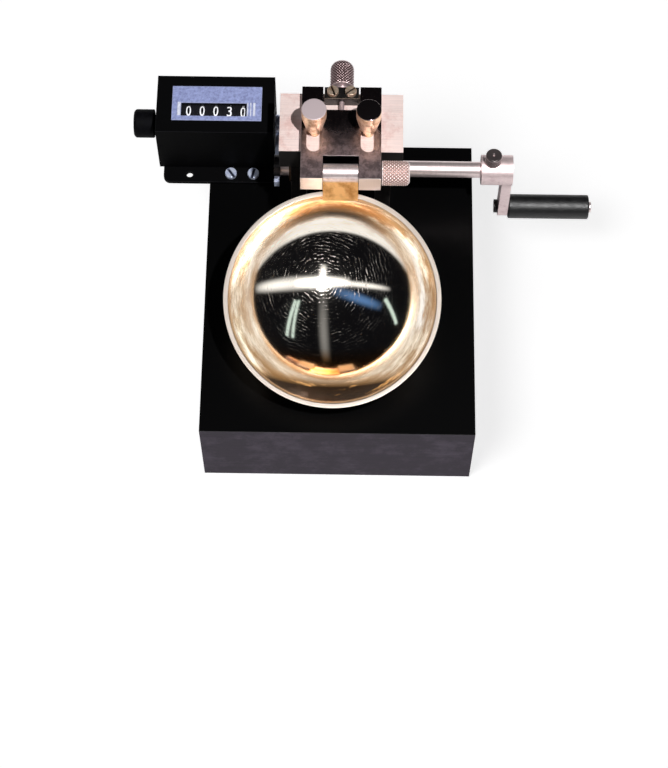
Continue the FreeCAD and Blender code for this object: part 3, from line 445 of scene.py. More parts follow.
# The left screw's pale top is painted light, and the right screw's dark top painted shade.
for side, x, finish in (
    ("left", -0.0122, golden_screw("clamp_steel_left_lit_top", 0.5, top_metal=0.5, painted_top_colour=(0.52, 0.43, 0.445))),
    ("right", 0.0122, golden_screw("clamp_steel_right_shaded_top", 0.21, top_metal=1.0, painted_top_colour=(0.22, 0.18, 0.19))),
):
    mesh = lathe("thumb_screw_" + side, corners_rounded(clamp_outline, 0.0004), "Z", (x, 0.048, 0.1113))
    set_in("thumb_screw_" + side, mesh, finish, "clamp_" + side, "screw_steel", "clamp_screw_" + side)


# Adjuster: a blackened bracket, edges painted pale as a highlight, held down by two slotted screws.
# The knurled screw behind it pushes the plate to set the drop.
# The pale worn colour on the bracket's rounded edges is a painted highlight.
blackened = worked(
    "blackened_steel", (0.0035, 0.003, 0.003), (0.012, 0.010, 0.010), (0.62, 0.46, 0.34),
    grain=(400, 1500, 400), height=2e-6, tone=0.4, size=220, cover=0.2, rough=0.42, Specular_IOR_Level=0.25,
)
set_in_softened("adjuster_block", "adjuster_bracket", 0.0004, blackened, "frame", "dark_steel")


def joined(name, meshes):
    """One mesh that holds several."""
    shape = bmesh.new()
    for mesh in meshes:
        shape.from_mesh(mesh)
    whole = bpy.data.meshes.new(name)
    shape.to_mesh(whole)
    shape.free()
    for mesh in meshes:
        bpy.data.meshes.remove(mesh)
    return whole


def slotted_screws(name, places, radius, height, stem, depth, turns, slot=0.00075):
    """Flat-headed screws, with a slot that takes away 0.6 of the head's height.

    The slot is where the distance across it is under half its width. Each skin runs from the stem's
    end out over the head's side and in over its top, whose outer tenth falls away by 0.2 of the
    height. The vertex attribute groove is 1 in the slot.
    """
    rings = np.concatenate([np.linspace(1, 0.9, 4), np.linspace(0.88, 0, 26)])
    angle = np.linspace(0, 2 * np.pi, 72, endpoint=False)
    share = rings[:, None] * np.ones_like(angle)
    round_off = 0.2 * height * np.clip((share - 0.9) / 0.1, 0, 1) ** 2
    below = np.array([
        (0, -depth), (stem, -depth), (stem, 0), (radius * 0.96, 0), (radius, 0.15 * height),
        (radius, 0.8 * height),
    ])
    skins = []
    for (x, y, z), turn in zip(places, turns):
        across = radius * share * np.cos(angle - math.radians(turn))
        cut = np.clip((0.5 * slot - np.abs(across)) / (0.12 * slot) + 0.5, 0, 1) * (share < 0.97)
        top = height - round_off - 0.6 * height * cut
        r = np.vstack([np.repeat(below[:, :1], len(angle), 1), radius * share])
        up = np.vstack([np.repeat(below[:, 1:], len(angle), 1), top])
        points = np.stack([x + r * np.cos(angle), y + r * np.sin(angle), z + up], axis=-1)
        skins.append(grid_mesh(name, points, np.vstack([np.zeros((len(below), len(angle))), cut])))
    return joined(name, skins)


yellow_steel = worked(
    "yellow_steel", (0.80, 0.64, 0.50), (0.40, 0.26, 0.16), (0.9, 0.8, 0.7), grain=(1500, 1500, 1500),
    height=2e-6, tone=0.4, size=500, rough=0.36, Metallic=0.85,
)


def dark_in_grooves(material, colour):
    """Painted shade in the cuts: the vertex attribute groove says where they are."""
    tree = material.node_tree
    groove = add(tree, "Attribute", attribute_name="groove").outputs["Fac"]
    overlay(material, ramp(tree, groove, 0.25, 0.7), colour)


# The screws' slots are painted dark as shade.
dark_in_grooves(yellow_steel, (0.02, 0.014, 0.01))
mesh = slotted_screws(
    "bracket_heads", [(-0.00405, 0.0652, 0.113), (0.00405, 0.0652, 0.113)],
    radius=0.0026, height=0.0024, stem=0.00125, depth=0.0118, turns=(20, -52),
)
set_in("bracket_heads", mesh, yellow_steel, "frame", "screw_steel", "bracket_screws")


def knurled_steel(name, low, high, rough=0.34):
    """Knurled steel with painted shade in its grooves."""
    material = worked(
        name, high, low, high, grain=(1500, 1500, 1500), height=2e-6, tone=0.3, size=420, cover=0.1,
        rough=rough, grain_rough=0.2, Metallic=0.7,
    )
    dark_in_grooves(material, low)
    return material


knurl_steel = knurled_steel("knurled_steel", (0.07, 0.03, 0.03), (0.62, 0.48, 0.49))
knob = corners_rounded([
    (0, -0.0201), (0.0012, -0.0201), (0.0012, 0), (0.0025, 0), (0.0025, 0.0016),
    (0.0055, 0.0016), (0.0055, 0.0126), (0.0035, 0.0148), (0, 0.0148),
], 0.0012, steps=8)
mesh = lathe(
    "adjuster_knob", filled_in(knob, 0.00018), "Y", (0, 0.0683, 0.1093), columns=256,
    knurl=(0.0016, 0.0138, 24, 0.0004),
)
set_in("adjuster_knob", mesh, knurl_steel, "adjuster", "screw_steel", "adjusting_screw", crease=80)


# Pivot pin: a turned pin through both ears and the hanger, with a knurled knob on the right.
# It pulls out to free the cup.
PIVOT_Y = 0.0276
PIVOT_Z = 0.1063
pin = corners_rounded([
    (0, -0.018), (0.0025, -0.018), (0.0025, 0.0183), (0.0057, 0.0183), (0.0057, 0.0296),
    (0.0044, 0.0309), (0, 0.0309),
], 0.0008, steps=6)
mesh = lathe(
    "pivot_knob", filled_in(pin, 0.00019), "X", (0, PIVOT_Y, PIVOT_Z), columns=256,
    knurl=(0.0183, 0.0309, 21, 0.0005),
)
pale_knurl = knurled_steel("pale_knurled_steel", (0.45, 0.28, 0.25), (0.97, 0.85, 0.83), rough=0.45)
set_in("pivot_knob", mesh, pale_knurl, "pivot_pin", "screw_steel", "pivot_pin", crease=80)


# Cup hanger: a steel eye on the pin, a brass lip soldered over the cup's rim, and a tail to the cam.
# The lip is stained orange by the solder's heat.
def hanger_finish():
    """Pale steel at the eye, heat-stained brass ahead of it, and black behind it as painted shade."""
    material = worked(
        "hanger_metal", (0.84, 0.72, 0.71), (0.60, 0.48, 0.48), (0.95, 0.85, 0.75), grain=(40, 1800, 1800),
        height=4e-6, tone=0.5, size=200, cover=0.25, rough=0.34, Metallic=0.8,
    )
    tree = material.node_tree
    along = place_on(tree)["Y"]
    lip = ramp(tree, along, 0.0236, 0.0230)
    stained = ramp(tree, noise(tree, own_place(tree), 170.0, 4.0, 0.6), 0.44, 0.66, 0.85)
    tail_shade = ramp(tree, along, 0.0311, 0.0316)
    overlay(material, lip, (0.92, 0.50, 0.19), 0.4)
    overlay(material, all_of(tree, lip, stained), (0.46, 0.18, 0.04))
    # The black behind the eye is painted shade.
    overlay(material, tail_shade, (0.012, 0.011, 0.011))
    return material


set_in_softened("hanger", "cup_hanger", 0.0003, hanger_finish(), "cup", "hanger_brass")
give(dark_steel, "cam_follower")
give(knurl_steel, "follower_rivets")


# Cup: 2 mm sheet brass spun to part of a sphere, with a rolled smooth rim, and polished inside and out.
# Scraping soil out of it leaves fine scratches, painted as pale glints in arcs round the lamp's highlight.
# It hangs 60 mm ahead of the pivot.
CUP_MIDDLE = (-0.003, PIVOT_Y - 0.060, PIVOT_Z)
CUP_LEAN = math.radians(20.3)
HIGHLIGHT_SPOT = (-0.0078, -0.0042, 0.0605)


def cup_skin():
    """A bowl: radius R sin a and height -R cos a, inside out to the rim and back along the outside.

    The bowl is then leant forward about X and moved to the sphere's middle.
    """
    inner, outer, depth, lip, short_of_rim = 0.054, 0.056, 0.027, 0.0007, 0.008
    inside = np.linspace(0, math.acos(depth / inner) - short_of_rim, 120)
    outside = np.linspace(math.acos(depth / outer) - short_of_rim, 0, 70)
    rim_in, rim_out = math.sqrt(inner ** 2 - depth ** 2), math.sqrt(outer ** 2 - depth ** 2)
    rim = corners_rounded([
        (inner * math.sin(inside[-1]), -inner * math.cos(inside[-1])), (rim_in, -depth), (rim_out, -depth),
        (outer * math.sin(outside[0]), -outer * math.cos(outside[0])),
    ], lip, steps=7)
    outline = np.vstack([
        np.stack([inner * np.sin(inside), -inner * np.cos(inside)], axis=1), rim,
        np.stack([outer * np.sin(outside), -outer * np.cos(outside)], axis=1),
    ])
    mesh = lathe("brass_cup", outline, "Z", (0, 0, 0), columns=256)
    mesh.transform(Matrix.Translation(CUP_MIDDLE) @ Matrix.Rotation(CUP_LEAN, 4, "X"))
    return mesh


def cup_place(tree):
    """Place in the cup: the way to it from the axis, drawn in to 6 mm, and the distance from it as Z."""
    centred = add(tree, "Mapping", {
        "Vector": own_place(tree), "Location": CUP_MIDDLE, "Rotation": (CUP_LEAN, 0, 0),
    }, vector_type="TEXTURE")
    flat = add(tree, "VectorMath", {0: centred.outputs[0], 1: (1, 1, 0)}, operation="MULTIPLY")
    reach = add(tree, "VectorMath", {0: flat.outputs[0]}, operation="LENGTH")
    heading = add(tree, "VectorMath", {0: flat.outputs[0]}, operation="NORMALIZE")
    drawn_in = add(tree, "VectorMath", {0: heading.outputs[0], "Scale": 0.006}, operation="SCALE")
    outwards = add(tree, "CombineXYZ", {"Z": reach.outputs["Value"]})
    return add(tree, "VectorMath", {0: drawn_in.outputs[0], 1: outwards.outputs[0]}).outputs[0]


def scratches(tree):
    """A mask of fine arcs round the spot of the lamp's highlight, fewer with the distance: painted glints.

    An arc is where the distance over 1.5 mm, shifted by noise, is half way between two whole numbers.
    Noise drawn out along the arcs breaks them, and more noise leaves whole patches clean.
    """
    away = add(tree, "VectorMath", {0: own_place(tree), 1: HIGHLIGHT_SPOT}, operation="SUBTRACT").outputs[0]
    part = add(tree, "SeparateXYZ", {0: away}).outputs
    reach = add(tree, "VectorMath", {0: away}, operation="LENGTH").outputs["Value"]
    shift = maths(tree, "MULTIPLY", noise(tree, away, 90.0, 3.0, 0.6), 4.5)
    arcs_per_metre = 680.0
    phase = maths(tree, "FRACT", maths(tree, "MULTIPLY_ADD", reach, arcs_per_metre, shift))
    from_line = maths(tree, "ABSOLUTE", maths(tree, "SUBTRACT", phase, 0.5))
    turn = maths(tree, "ARCTAN2", part["Y"], part["X"])
    round_spot = add(tree, "CombineXYZ", {
        "X": maths(tree, "MULTIPLY", reach, 1500.0), "Y": maths(tree, "MULTIPLY", turn, 4.0),
    }).outputs[0]
    near = ramp(tree, reach, 0.036, 0.008)
    unbroken = ramp(tree, noise(tree, round_spot, 1.0, 4.0, 0.8), 0.49, 0.57)
    patchy = ramp(tree, noise(tree, away, 80.0, 7.0, 0.85), 0.46, 0.60)
    return all_of(tree, ramp(tree, from_line, 0.20, 0.07), near, unbroken, patchy)


def cup_finish():
    """Polished brass, its scratches painted as pale glints round the lamp's highlight, with arcs of tarnish
    towards the rim.

    The front wall is painted golden as a reflection, golden too under its rim, where dark streaks are
    painted shade. The rim is painted pale as a highlight, with a brown line inside it. Reach is the
    distance from the cup's axis.
    """
    material = worked(
        "polished_brass", (0.985, 0.93, 0.84), (0.42, 0.25, 0.12), (0.98, 0.90, 0.76),
        grain=(110, 110, 1300), height=1e-6, tone=0.45, size=230, cover=0.36, rough=0.09, grain_rough=0.1,
        blotch_rough=0.10, place=cup_place, Metallic=1.0,
    )
    tree = material.node_tree
    place = cup_place(tree)
    reach = add(tree, "SeparateXYZ", {0: place}).outputs["Z"]
    along = place_on(tree)["Y"]
    clean = ramp(tree, reach, 0.042, 0.034)
    golden_reflection = all_of(tree, ramp(tree, along, -0.034, -0.040), ramp(tree, reach, 0.036, 0.031))
    under_rim_reflection_and_shade = ramp(tree, along, -0.049, -0.056)
    shade_streaks = ramp(tree, noise(tree, place, 260.0, 5.0, 0.65), 0.66, 0.57)
    brown_line = all_of(tree, ramp(tree, reach, 0.0455, 0.0462), ramp(tree, reach, 0.0472, 0.0468))
    rim = ramp(tree, reach, 0.0468, 0.0472)
    overlay(material, clean, (0.97, 0.91, 0.81), 0.075)
    # The golden front wall is a painted reflection.
    overlay(material, golden_reflection, (0.85, 0.46, 0.19))
    # The pale arcs are painted glints on the scratches.
    overlay(material, scratches(tree), (1.0, 0.84, 0.82), 0.5, 0.0)
    # Under the rim: golden as a painted reflection, with dark streaks as painted shade.
    overlay(material, under_rim_reflection_and_shade, (0.86, 0.47, 0.17))
    overlay(material, all_of(tree, under_rim_reflection_and_shade, shade_streaks), (0.03, 0.015, 0.006))
    overlay(material, brown_line, (0.50, 0.33, 0.20), 0.3)
    # The pale rim is a painted highlight.
    overlay(material, rim, (0.96, 0.83, 0.72), 0.40, 0.3)
    return material


brass_cup = set_in("brass_cup", cup_skin(), cup_finish(), "cup", "cup_brass", "cup", crease=60)


# Camshaft: ground steel rod through the bushes, with the cam, two collars and the counter's disc on it.
# Grub screws hold all of these on the shaft.
ground = worked(
    "ground_steel", (0.84, 0.71, 0.70), (0.68, 0.54, 0.54), (0.95, 0.88, 0.86), grain=(2500, 120, 120),
    height=2e-6, tone=0.3, size=120, cover=0.22, rough=0.36, grain_rough=0.15, Metallic=0.85,
)
SHAFT_Y = 0.0472
SHAFT_Z = 0.077
SHAFT_END = -0.031
rod = corners_rounded([(0, 0), (0.00375, 0), (0.00375, 0.1105), (0, 0.1105)], 0.0005)
mesh = lathe("shaft_rod", rod, "X", (SHAFT_END, SHAFT_Y, SHAFT_Z))
set_in("shaft_rod", mesh, ground, "crankshaft", "milled_steel", "camshaft")
# The counter's eccentric gets the dark steel as painted shade.
give(dark_steel, "cam", "cam_grub_screw", "collar_grub_screws", "counter_eccentric")
give(ground, "shaft_collars")


# Crank: hub and arm milled from one piece, with a knurled thumb screw that grips the shaft.
# The handle is black moulded plastic that turns on a steel spindle with a nut behind the arm.
arm_steel = worked(
    "arm_steel", (0.80, 0.65, 0.65), (0.62, 0.47, 0.48), (0.95, 0.86, 0.84), grain=(500, 500, 1400),
    height=3e-6, tone=0.35, size=150, cover=0.2, rough=0.44, grain_rough=0.2, Metallic=0.75,
)
set_in_softened("hub_and_arm", "crank_arm", 0.0003, arm_steel, "crankshaft", "milled_steel")
dark_knurl = knurled_steel("dark_knurled_steel", (0.05, 0.03, 0.03), (0.52, 0.42, 0.42))
# The thumb screw's top is painted darker than its sides as shade.
thumb_top_shade = ramp(dark_knurl.node_tree, place_on(dark_knurl.node_tree)["Z"], 0.0898, 0.0902)
overlay(dark_knurl, thumb_top_shade, (0.09, 0.075, 0.075), 0.3)
thumb = corners_rounded([
    (0, -0.0036), (0.00175, -0.0036), (0.00175, 0), (0.0030, 0), (0.0038, 0.0008), (0.0038, 0.0056),
    (0.0032, 0.0062), (0.0008, 0.0060), (0, 0.0053),
], 0.0003)
mesh = lathe(
    "hub_thumb_screw", filled_in(thumb, 0.00015), "Z", (0.0701, SHAFT_Y, 0.0843), columns=192,
    knurl=(0.0008, 0.0056, 24, 0.0003),
)
body = "crank_thumb_screw"
set_in("hub_thumb_screw", mesh, dark_knurl, body, "screw_steel", "crank_thumb_screw", crease=80)
HANDLE_Z = 0.0433
handle_black = worked(
    "handle_plastic", (0.0015, 0.0015, 0.0018), (0.003, 0.003, 0.0035), (0.012, 0.012, 0.012),
    grain=(1300, 1900, 1900), height=1.2e-4, tone=0.6, size=400, cover=0.3, rough=0.40, grain_rough=0.3,
)
grip = corners_rounded([
    (0.00205, 0), (0.0058, 0), (0.0058, 0.0384), (0.00205, 0.0384), (0.00205, 0),
], 0.0009, steps=6)
mesh = lathe("grip", grip, "X", (0.0798, SHAFT_Y, HANDLE_Z))
set_in("grip", mesh, handle_black, "handle", "black_plastic", "crank_handle")
spindle = corners_rounded([
    (0, 0.0731), (0.002, 0.0731), (0.002, 0.1185), (0.0026, 0.1185), (0.0026, 0.1195), (0, 0.1195),
], 0.0003)
mesh = lathe("handle_rod", spindle, "X", (0, SHAFT_Y, HANDLE_Z))
set_in("handle_rod", mesh, ground, "crankshaft", "screw_steel", "handle_spindle")
give(blackened, "spindle_nut")


# Counter: a folded steel case stoved black, on a base plate whose flange two zinc screws hold down.
# A pale blue label plate is riveted on top, with a clear window let into it between low white ridges.
enamel = worked(
    "black_enamel", (0.0008, 0.0008, 0.0010), (0.0015, 0.0015, 0.002), (0.03, 0.03, 0.035),
    grain=(900, 900, 900), height=6e-6, tone=0.5, size=150, cover=0.2, rough=0.72, grain_rough=0.15,
    Specular_IOR_Level=0.05,
)
set_in_softened("case", "counter_case", 0.0005, enamel, "frame", "black_case")
set_in_softened("case_foot", "counter_base_plate", 0.0003, enamel, "frame", "black_case")
label_paint = worked(
    "label_paint", (0.23, 0.265, 0.46), (0.15, 0.17, 0.32), (0.42, 0.45, 0.62), grain=(650, 650, 650),
    height=2e-6, tone=1.0, size=800, cover=0.3, rough=0.45, grain_rough=0.2,
)
set_in_softened("label", "counter_label", 0.00015, label_paint, "frame", "label_blue")
window_clear = worked(
    "window_clear", (0.20, 0.20, 0.24), (0.16, 0.16, 0.20), (0.9, 0.9, 0.95), height=0, tone=0.1,
    rough=0.08, grain_rough=0.05, blotch_rough=0.03, Alpha=0.02,
)
give(window_clear, "counter_window")


def bevelled_bars(name, spans, front, back, low, high, corner):
    """Long low bars: a cross-section with its two top corners cut, carried along Y from front to back.

    The first and the last row of points shrink to the section's middle and so close the ends.
    """
    y = np.array([front, front, back, back])[:, None]
    shrink = np.array([0, 1, 1, 0])[:, None, None]
    shoulder = high - corner
    bars = []
    for left, right in spans:
        section = np.array([
            (left, low), (right, low), (right, shoulder), (right - corner, high), (left + corner, high),
            (left, shoulder),
        ])
        middle = section.mean(axis=0)
        x, z = np.moveaxis(middle + (section - middle) * shrink, -1, 0)
        bars.append(grid_mesh(name, np.stack([x, np.repeat(y, len(section), 1), z], axis=-1)))
    return joined(name, bars)


ridge_white = worked(
    "ridge_white", (0.55, 0.57, 0.66), (0.38, 0.40, 0.50), (0.85, 0.86, 0.9), grain=(1500, 300, 1500),
    height=2e-6, tone=0.3, size=600, rough=0.4,
)
ridges = [(-0.0767, -0.0752), (-0.0442, -0.0436), (-0.0428, -0.0422), (-0.0414, -0.0403)]
mesh = bevelled_bars(
    "window_ridges", ridges, front=0.0698, back=0.0769, low=0.0845, high=0.0850, corner=0.00015,
)
set_in("window_ridges", mesh, ridge_white, "frame", "window_glass", crease=25)
zinc = worked(
    "zinc_plate", (0.72, 0.79, 0.95), (0.50, 0.56, 0.78), (0.90, 0.93, 1.0), grain=(900, 900, 900),
    height=6e-6, tone=0.5, size=600, rough=0.32, Metallic=0.6,
)
# The screws' slots are painted dark as shade.
dark_in_grooves(zinc, (0.03, 0.035, 0.06))
mesh = slotted_screws(
    "flange_screws", [(-0.0418, 0.0574, 0.052), (-0.0525, 0.0574, 0.052)],
    radius=0.0028, height=0.0022, stem=0.0015, depth=0.014, turns=(-15, 35), slot=0.0011,
)
set_in("flange_screws", mesh, zinc, "frame", "zinc", "counter_screws")
give(zinc, "counter_lever", "lever_pin")


# Digit wheels: five black moulded drums on one axle, with white figures round their rims.
# A tenth of a turn brings the next figure up to the window.
wheel_black = worked(
    "wheel_plastic", (0.001, 0.001, 0.0015), (0.002, 0.002, 0.003), (0.01, 0.01, 0.012),
    grain=(2000, 400, 400), height=2e-6, tone=0.4, size=400, rough=0.6, grain_rough=0.2,
    Specular_IOR_Level=0.06,
)
figure_white = worked(
    "figure_white", (0.88, 0.88, 0.90), (0.75, 0.75, 0.80), (0.9, 0.9, 0.9), grain=(2500, 2500, 2500),
    height=1e-6, tone=0.15, size=900, cover=0.3, rough=0.5, grain_rough=0.1,
)
WHEEL_RADIUS = 0.0103
WHEEL_BORE = 0.00155
WHEEL_AXLE = (0.0735, 0.071)
FIRST_WHEEL = -0.0717
WHEEL_SPACING = 0.00637
FIGURE_TALL = 0.0059
FIGURE_WIDE = 0.0023
ONE_WIDE = 0.45 * FIGURE_WIDE
FIGURE_LIFT = 0.00004


def figure_outline(figure):
    """A figure's flat mesh, 1 tall and 1 wide, as points and faces. Level cuts let it bend."""
    writing = bpy.data.curves.new("figure", "FONT")
    writing.body = figure
    writing.offset = 0.008
    holder = bpy.data.objects.new("figure", writing)
    shape = bmesh.new()
    shape.from_mesh(holder.to_mesh())
    holder.to_mesh_clear()
    for level in np.linspace(0.05, 0.75, 12):
        whole = shape.verts[:] + shape.edges[:] + shape.faces[:]
        bmesh.ops.bisect_plane(shape, geom=whole, plane_co=(0, level, 0), plane_no=(0, 1, 0))
    bmesh.ops.triangulate(shape, faces=shape.faces)
    shape.verts.index_update()
    points = np.array([vertex.co[:2] for vertex in shape.verts])
    faces = np.array([[vertex.index for vertex in face.verts] for face in shape.faces])
    shape.free()
    bpy.data.objects.remove(holder)
    bpy.data.curves.remove(writing)
    low, high = points.min(axis=0), points.max(axis=0)
    return (points - (low + high) / 2) / (high - low), faces


outlines = [figure_outline(str(number)) for number in range(10)]


def figures_on_wheel(name, middle, shown, slip):
    """Ten figures round a wheel: height up the figure turns into an angle, height / radius.

    The figure n stands (n - shown) tenths of a turn behind the window, less the slip. A figure is
    lifted a hair off the rim.
    """
    points, faces, count = [], [], 0
    lifted = WHEEL_RADIUS + FIGURE_LIFT
    for number, (flat, triangles) in enumerate(outlines):
        angle = (number - shown) * math.radians(36) + flat[:, 1] * FIGURE_TALL / WHEEL_RADIUS - slip
        across = middle + flat[:, 0] * (ONE_WIDE if number == 1 else FIGURE_WIDE)
        points.append(np.stack([
            across, WHEEL_AXLE[0] + lifted * np.sin(angle), WHEEL_AXLE[1] + lifted * np.cos(angle),
        ], axis=1))
        faces.append(triangles + count)
        count += len(flat)
    mesh = bpy.data.meshes.new(name)
    mesh.from_pydata(np.vstack(points).tolist(), [], np.vstack(faces).tolist())
    return mesh


drum = corners_rounded([
    (WHEEL_BORE, -0.003), (WHEEL_RADIUS, -0.003), (WHEEL_RADIUS, 0.003), (WHEEL_BORE, 0.003),
    (WHEEL_BORE, -0.003),
], 0.0003)
for number, (shown, slip) in enumerate(((0, -6), (0, -6), (0, -6), (3, -5), (0, -3))):
    middle = FIRST_WHEEL + WHEEL_SPACING * number
    body = f"wheel_{number + 1}"
    mesh = lathe(f"drum_{number + 1}", drum, "X", (middle, *WHEEL_AXLE), columns=120)
    set_in(f"drum_{number + 1}", mesh, wheel_black, body, "wheel_black", f"digit_wheel_{number + 1}")
    mesh = figures_on_wheel(f"figures_{number + 1}", middle, shown, math.radians(slip))
    set_in(f"figures_{number + 1}", mesh, figure_white, body, "wheel_black")
give(dark_steel, "wheel_axle", "pinion_shaft")
give(wheel_black, "carry_pinions")


# Reset knob: black moulded plastic pressed on the wheels' axle, with a collar towards the case.
# Turning it brings all the wheels back to nought.
reset = corners_rounded([
    (0, 0), (0.0057, 0), (0.0067, 0.001), (0.0067, 0.0096), (0.0042, 0.0096), (0.0042, 0.0109),
    (0.0015, 0.0109), (0.0015, 0.0096), (0, 0.0096),
], 0.0005, steps=5)
mesh = lathe("reset_grip", reset, "X", (-0.0978, *WHEEL_AXLE))
set_in("reset_grip", mesh, wheel_black, "reset", "black_plastic", "reset_knob")


# Studio: a white floor, soft light from the upper left, and two small lamps near the camera, one for
# the cup and one for the works. Polished metal shows a dark room above a white horizon. The cup also
# mirrors long thin lamps, most of them soft-edged, and one of these shows in all the pieces.
def floor_finish():
    """White paint that also glows for the camera and for mirrors, so that only shadows are grey."""
    material, tree, shader = material_of("white_floor", Roughness=0.9)
    shader.inputs["Base Color"].default_value = (0.80, 0.80, 0.80, 1)
    shader.inputs["Specular IOR Level"].default_value = 0.0
    seen = add(tree, "LightPath").outputs
    mirrored = maths(tree, "ADD", seen["Is Glossy Ray"], seen["Is Transmission Ray"])
    glow = maths(tree, "MULTIPLY", maths(tree, "ADD", seen["Is Camera Ray"], mirrored), 0.78)
    shader.inputs["Emission Color"].default_value = (1, 1, 1, 1)
    tree.links.new(glow, shader.inputs["Emission Strength"])
    return material


far = 4.0
floor_mesh = bpy.data.meshes.new("floor")
corners = [(-far, -far, 0), (far, -far, 0), (far, far, 0), (-far, far, 0)]
floor_mesh.from_pydata(corners, [], [(0, 1, 2, 3)])
floor_mesh.materials.append(floor_finish())
floor = bpy.data.objects.new("floor", floor_mesh)
bpy.context.scene.collection.objects.link(floor)


def dark_room():
    """World: white for the camera, and a dim grey for light.

    In a mirror it is white up to the horizon and dark above. Where a mirror shows another mirror,
    as the cup's wall does near its rim, it is white all over.
    """
    world = bpy.data.worlds.new("dark_room")
    bpy.context.scene.world = world
    world.use_nodes = True
    tree = world.node_tree
    tree.nodes.clear()
    white, dark, dim = (1, 1, 1, 1), (0.004, 0.004, 0.005, 1), (0.05, 0.05, 0.052, 1)
    direction = add(tree, "SeparateXYZ", {0: add(tree, "TexCoord").outputs["Generated"]}).outputs
    above = ramp(tree, direction["Z"], 0.02, 0.06)
    seen = add(tree, "LightPath").outputs
    once = maths(tree, "LESS_THAN", seen["Glossy Depth"], 1.5)
    mirrored = blend(tree, all_of(tree, above, once), white, dark)
    shiny = maths(tree, "MAXIMUM", seen["Is Glossy Ray"], seen["Is Transmission Ray"])
    colour = blend(tree, seen["Is Camera Ray"], blend(tree, shiny, dim, mirrored), white)
    back = add(tree, "Background", {"Color": colour, "Strength": 1.0})
    tree.links.new(back.outputs[0], add(tree, "OutputWorld").inputs["Surface"])


dark_room()


def lamp(name, kind, place, aim, power, mirrored=True, **settings):
    """A lamp at a place that faces an aim."""
    light = bpy.data.lights.new(name, kind)
    light.energy = power
    for setting, given in settings.items():
        setattr(light, setting, given)
    holder = bpy.data.objects.new(name, light)
    holder.location = place
    holder.rotation_euler = (Vector(aim) - Vector(place)).to_track_quat("-Z", "Y").to_euler()
    holder.visible_glossy = mirrored
    bpy.context.scene.collection.objects.link(holder)
    return holder


def light_only(holder, state, *pieces):
    """Lets a lamp reach only these pieces (INCLUDE), or all but them (EXCLUDE)."""
    reached = bpy.data.collections.new(holder.name + "_reach")
    for piece in pieces:
        reached.objects.link(piece)
    for entry in reached.collection_objects:
        entry.light_linking.link_state = state
    holder.light_linking.receiver_collection = reached


def soft_edged(light):
    """Fades an area lamp out to its edges: the strength is (1 - (2u-1)^2) (1 - (2v-1)^2)^2."""
    light.use_nodes = True
    tree = light.node_tree
    spot = add(tree, "SeparateXYZ", {0: add(tree, "NewGeometry").outputs["Parametric"]}).outputs
    fades = []
    for direction in ("X", "Y"):
        off = maths(tree, "SUBTRACT", spot[direction], 0.5)
        fades.append(maths(tree, "MULTIPLY_ADD", all_of(tree, off, off), -4.0, 1.0))
    tree.links.new(all_of(tree, fades[0], fades[1], fades[1]), tree.nodes["Emission"].inputs["Strength"])


def tube(name, first, last, width, power, colour, soft=True, cup_only=True):
    """A long thin lamp that faces the object and is there for the mirrors, or for the cup's alone."""
    first, last = Vector(first), Vector(last)
    along = (last - first).normalized()
    middle = (first + last) / 2
    facing = middle.normalized()
    side = facing.cross(along).normalized()
    light = bpy.data.lights.new(name, "AREA")
    light.shape = "RECTANGLE"
    light.size, light.size_y = (last - first).length, width
    light.energy = power
    light.color = colour
    if soft:
        soft_edged(light)
    holder = bpy.data.objects.new(name, light)
    turned = Matrix([along, side, along.cross(side)]).transposed()
    holder.matrix_world = Matrix.Translation(middle) @ turned.to_4x4()
    bpy.context.scene.collection.objects.link(holder)
    if cup_only:
        light_only(holder, "INCLUDE", brass_cup)


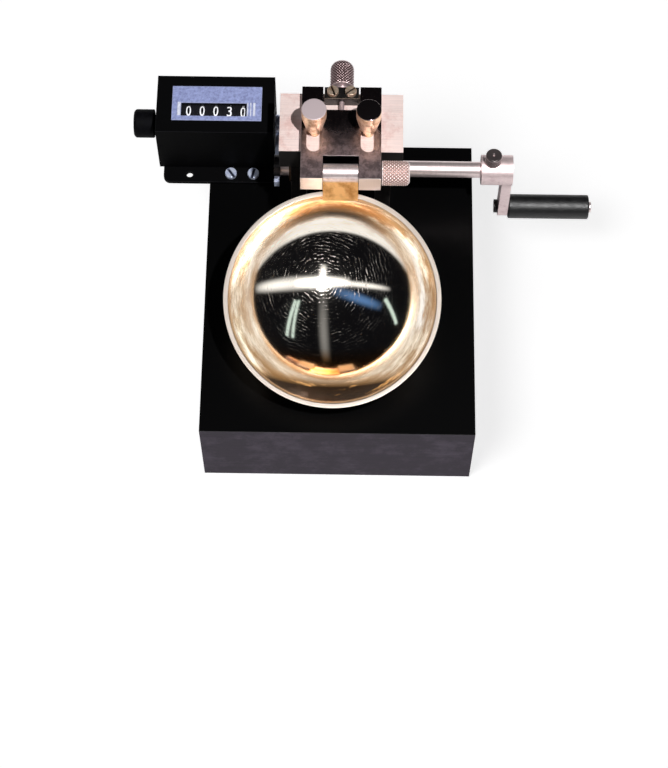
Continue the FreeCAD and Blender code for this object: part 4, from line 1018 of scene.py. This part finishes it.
lamp(
    "soft_left", "SUN", (-0.38, -0.36, 0.85), aim=(0, 0, 0), power=0.85, mirrored=False,
    angle=math.radians(24),
)
star = lamp(
    "cup_star", "SPOT", (0.157, -0.585, 0.857), aim=(-0.004, -0.035, 0.075), power=30,
    spot_size=math.radians(9), spot_blend=0.3, shadow_soft_size=0.085,
)
light_only(star, "INCLUDE", brass_cup)
key = lamp(
    "works_lamp", "SPOT", (0.227, -0.29, 1.02), aim=(0, 0.03, 0.07), power=54,
    spot_size=math.radians(30), spot_blend=0.3, shadow_soft_size=0.012,
)
light_only(key, "EXCLUDE", brass_cup, floor)
white = (1, 1, 1)
pale_green = (0.8, 1.0, 0.95)
tube("streak_left", (-0.1, -0.66, 0.95), (1.95, -0.22, 0.37), 0.30, 2.6, white)
tube("streak_right", (0.35, -0.66, 0.93), (-1.45, -0.50, 0.84), 0.14, 1.1, white, cup_only=False)
tube("streak_star", (0.75, -0.60, 0.88), (-0.35, -0.67, 0.95), 0.24, 2.4, white)
tube("streak_up", (0.17, -0.50, 0.93), (0.16, -0.95, 0.75), 0.16, 0.5, white)
tube("streak_down", (0.14, -0.45, 0.92), (0.064, 0.80, 0.88), 0.18, 0.17, white)
tube("green_outer", (0.60, -0.27, 0.9), (0.745, 0.40, 0.9), 0.055, 0.10, pale_green, soft=False)
tube("green_inner", (0.53, -0.28, 0.9), (0.61, 0.38, 0.9), 0.045, 0.08, pale_green, soft=False)
tube("green_right", (-1.10, -0.30, 0.9), (-1.56, 0.40, 0.9), 0.085, 0.19, pale_green, soft=False)
tube("blue", (0.02, -0.49, 0.9), (-0.95, -0.13, 0.9), 0.22, 0.36, (0.2, 0.45, 1.0))


# Camera: fitted to the corners of the block in the photograph, unshifted. The photograph's height and
# the focal length are in pixels.
photo_height = 768
focal_length = 2103.378
camera = bpy.data.cameras.new("photo")
camera.sensor_fit = "VERTICAL"
camera.sensor_height = 36.0
camera.lens = focal_length / photo_height * camera.sensor_height
camera.clip_start = 0.01
camera.clip_end = 50.0
view = bpy.data.objects.new("photo", camera)
raised, turned_left, rolled = math.radians(65.457), math.radians(-0.726), math.radians(0.144)
forward = np.array([
    math.sin(turned_left) * math.cos(raised), math.cos(turned_left) * math.cos(raised), -math.sin(raised),
])
right = np.array([math.cos(turned_left), -math.sin(turned_left), 0])
upward = np.cross(right, forward)
across = math.cos(rolled) * right + math.sin(rolled) * upward
above = math.cos(rolled) * upward - math.sin(rolled) * right
turning = Matrix([[across[row], above[row], -forward[row]] for row in range(3)]).to_4x4()
standpoint = (0.003285, -0.449342, 0.923069)
view.matrix_world = Matrix.Translation(standpoint) @ turning
bpy.context.scene.collection.objects.link(view)
bpy.context.scene.camera = view
bpy.context.scene.view_settings.view_transform = "Standard"
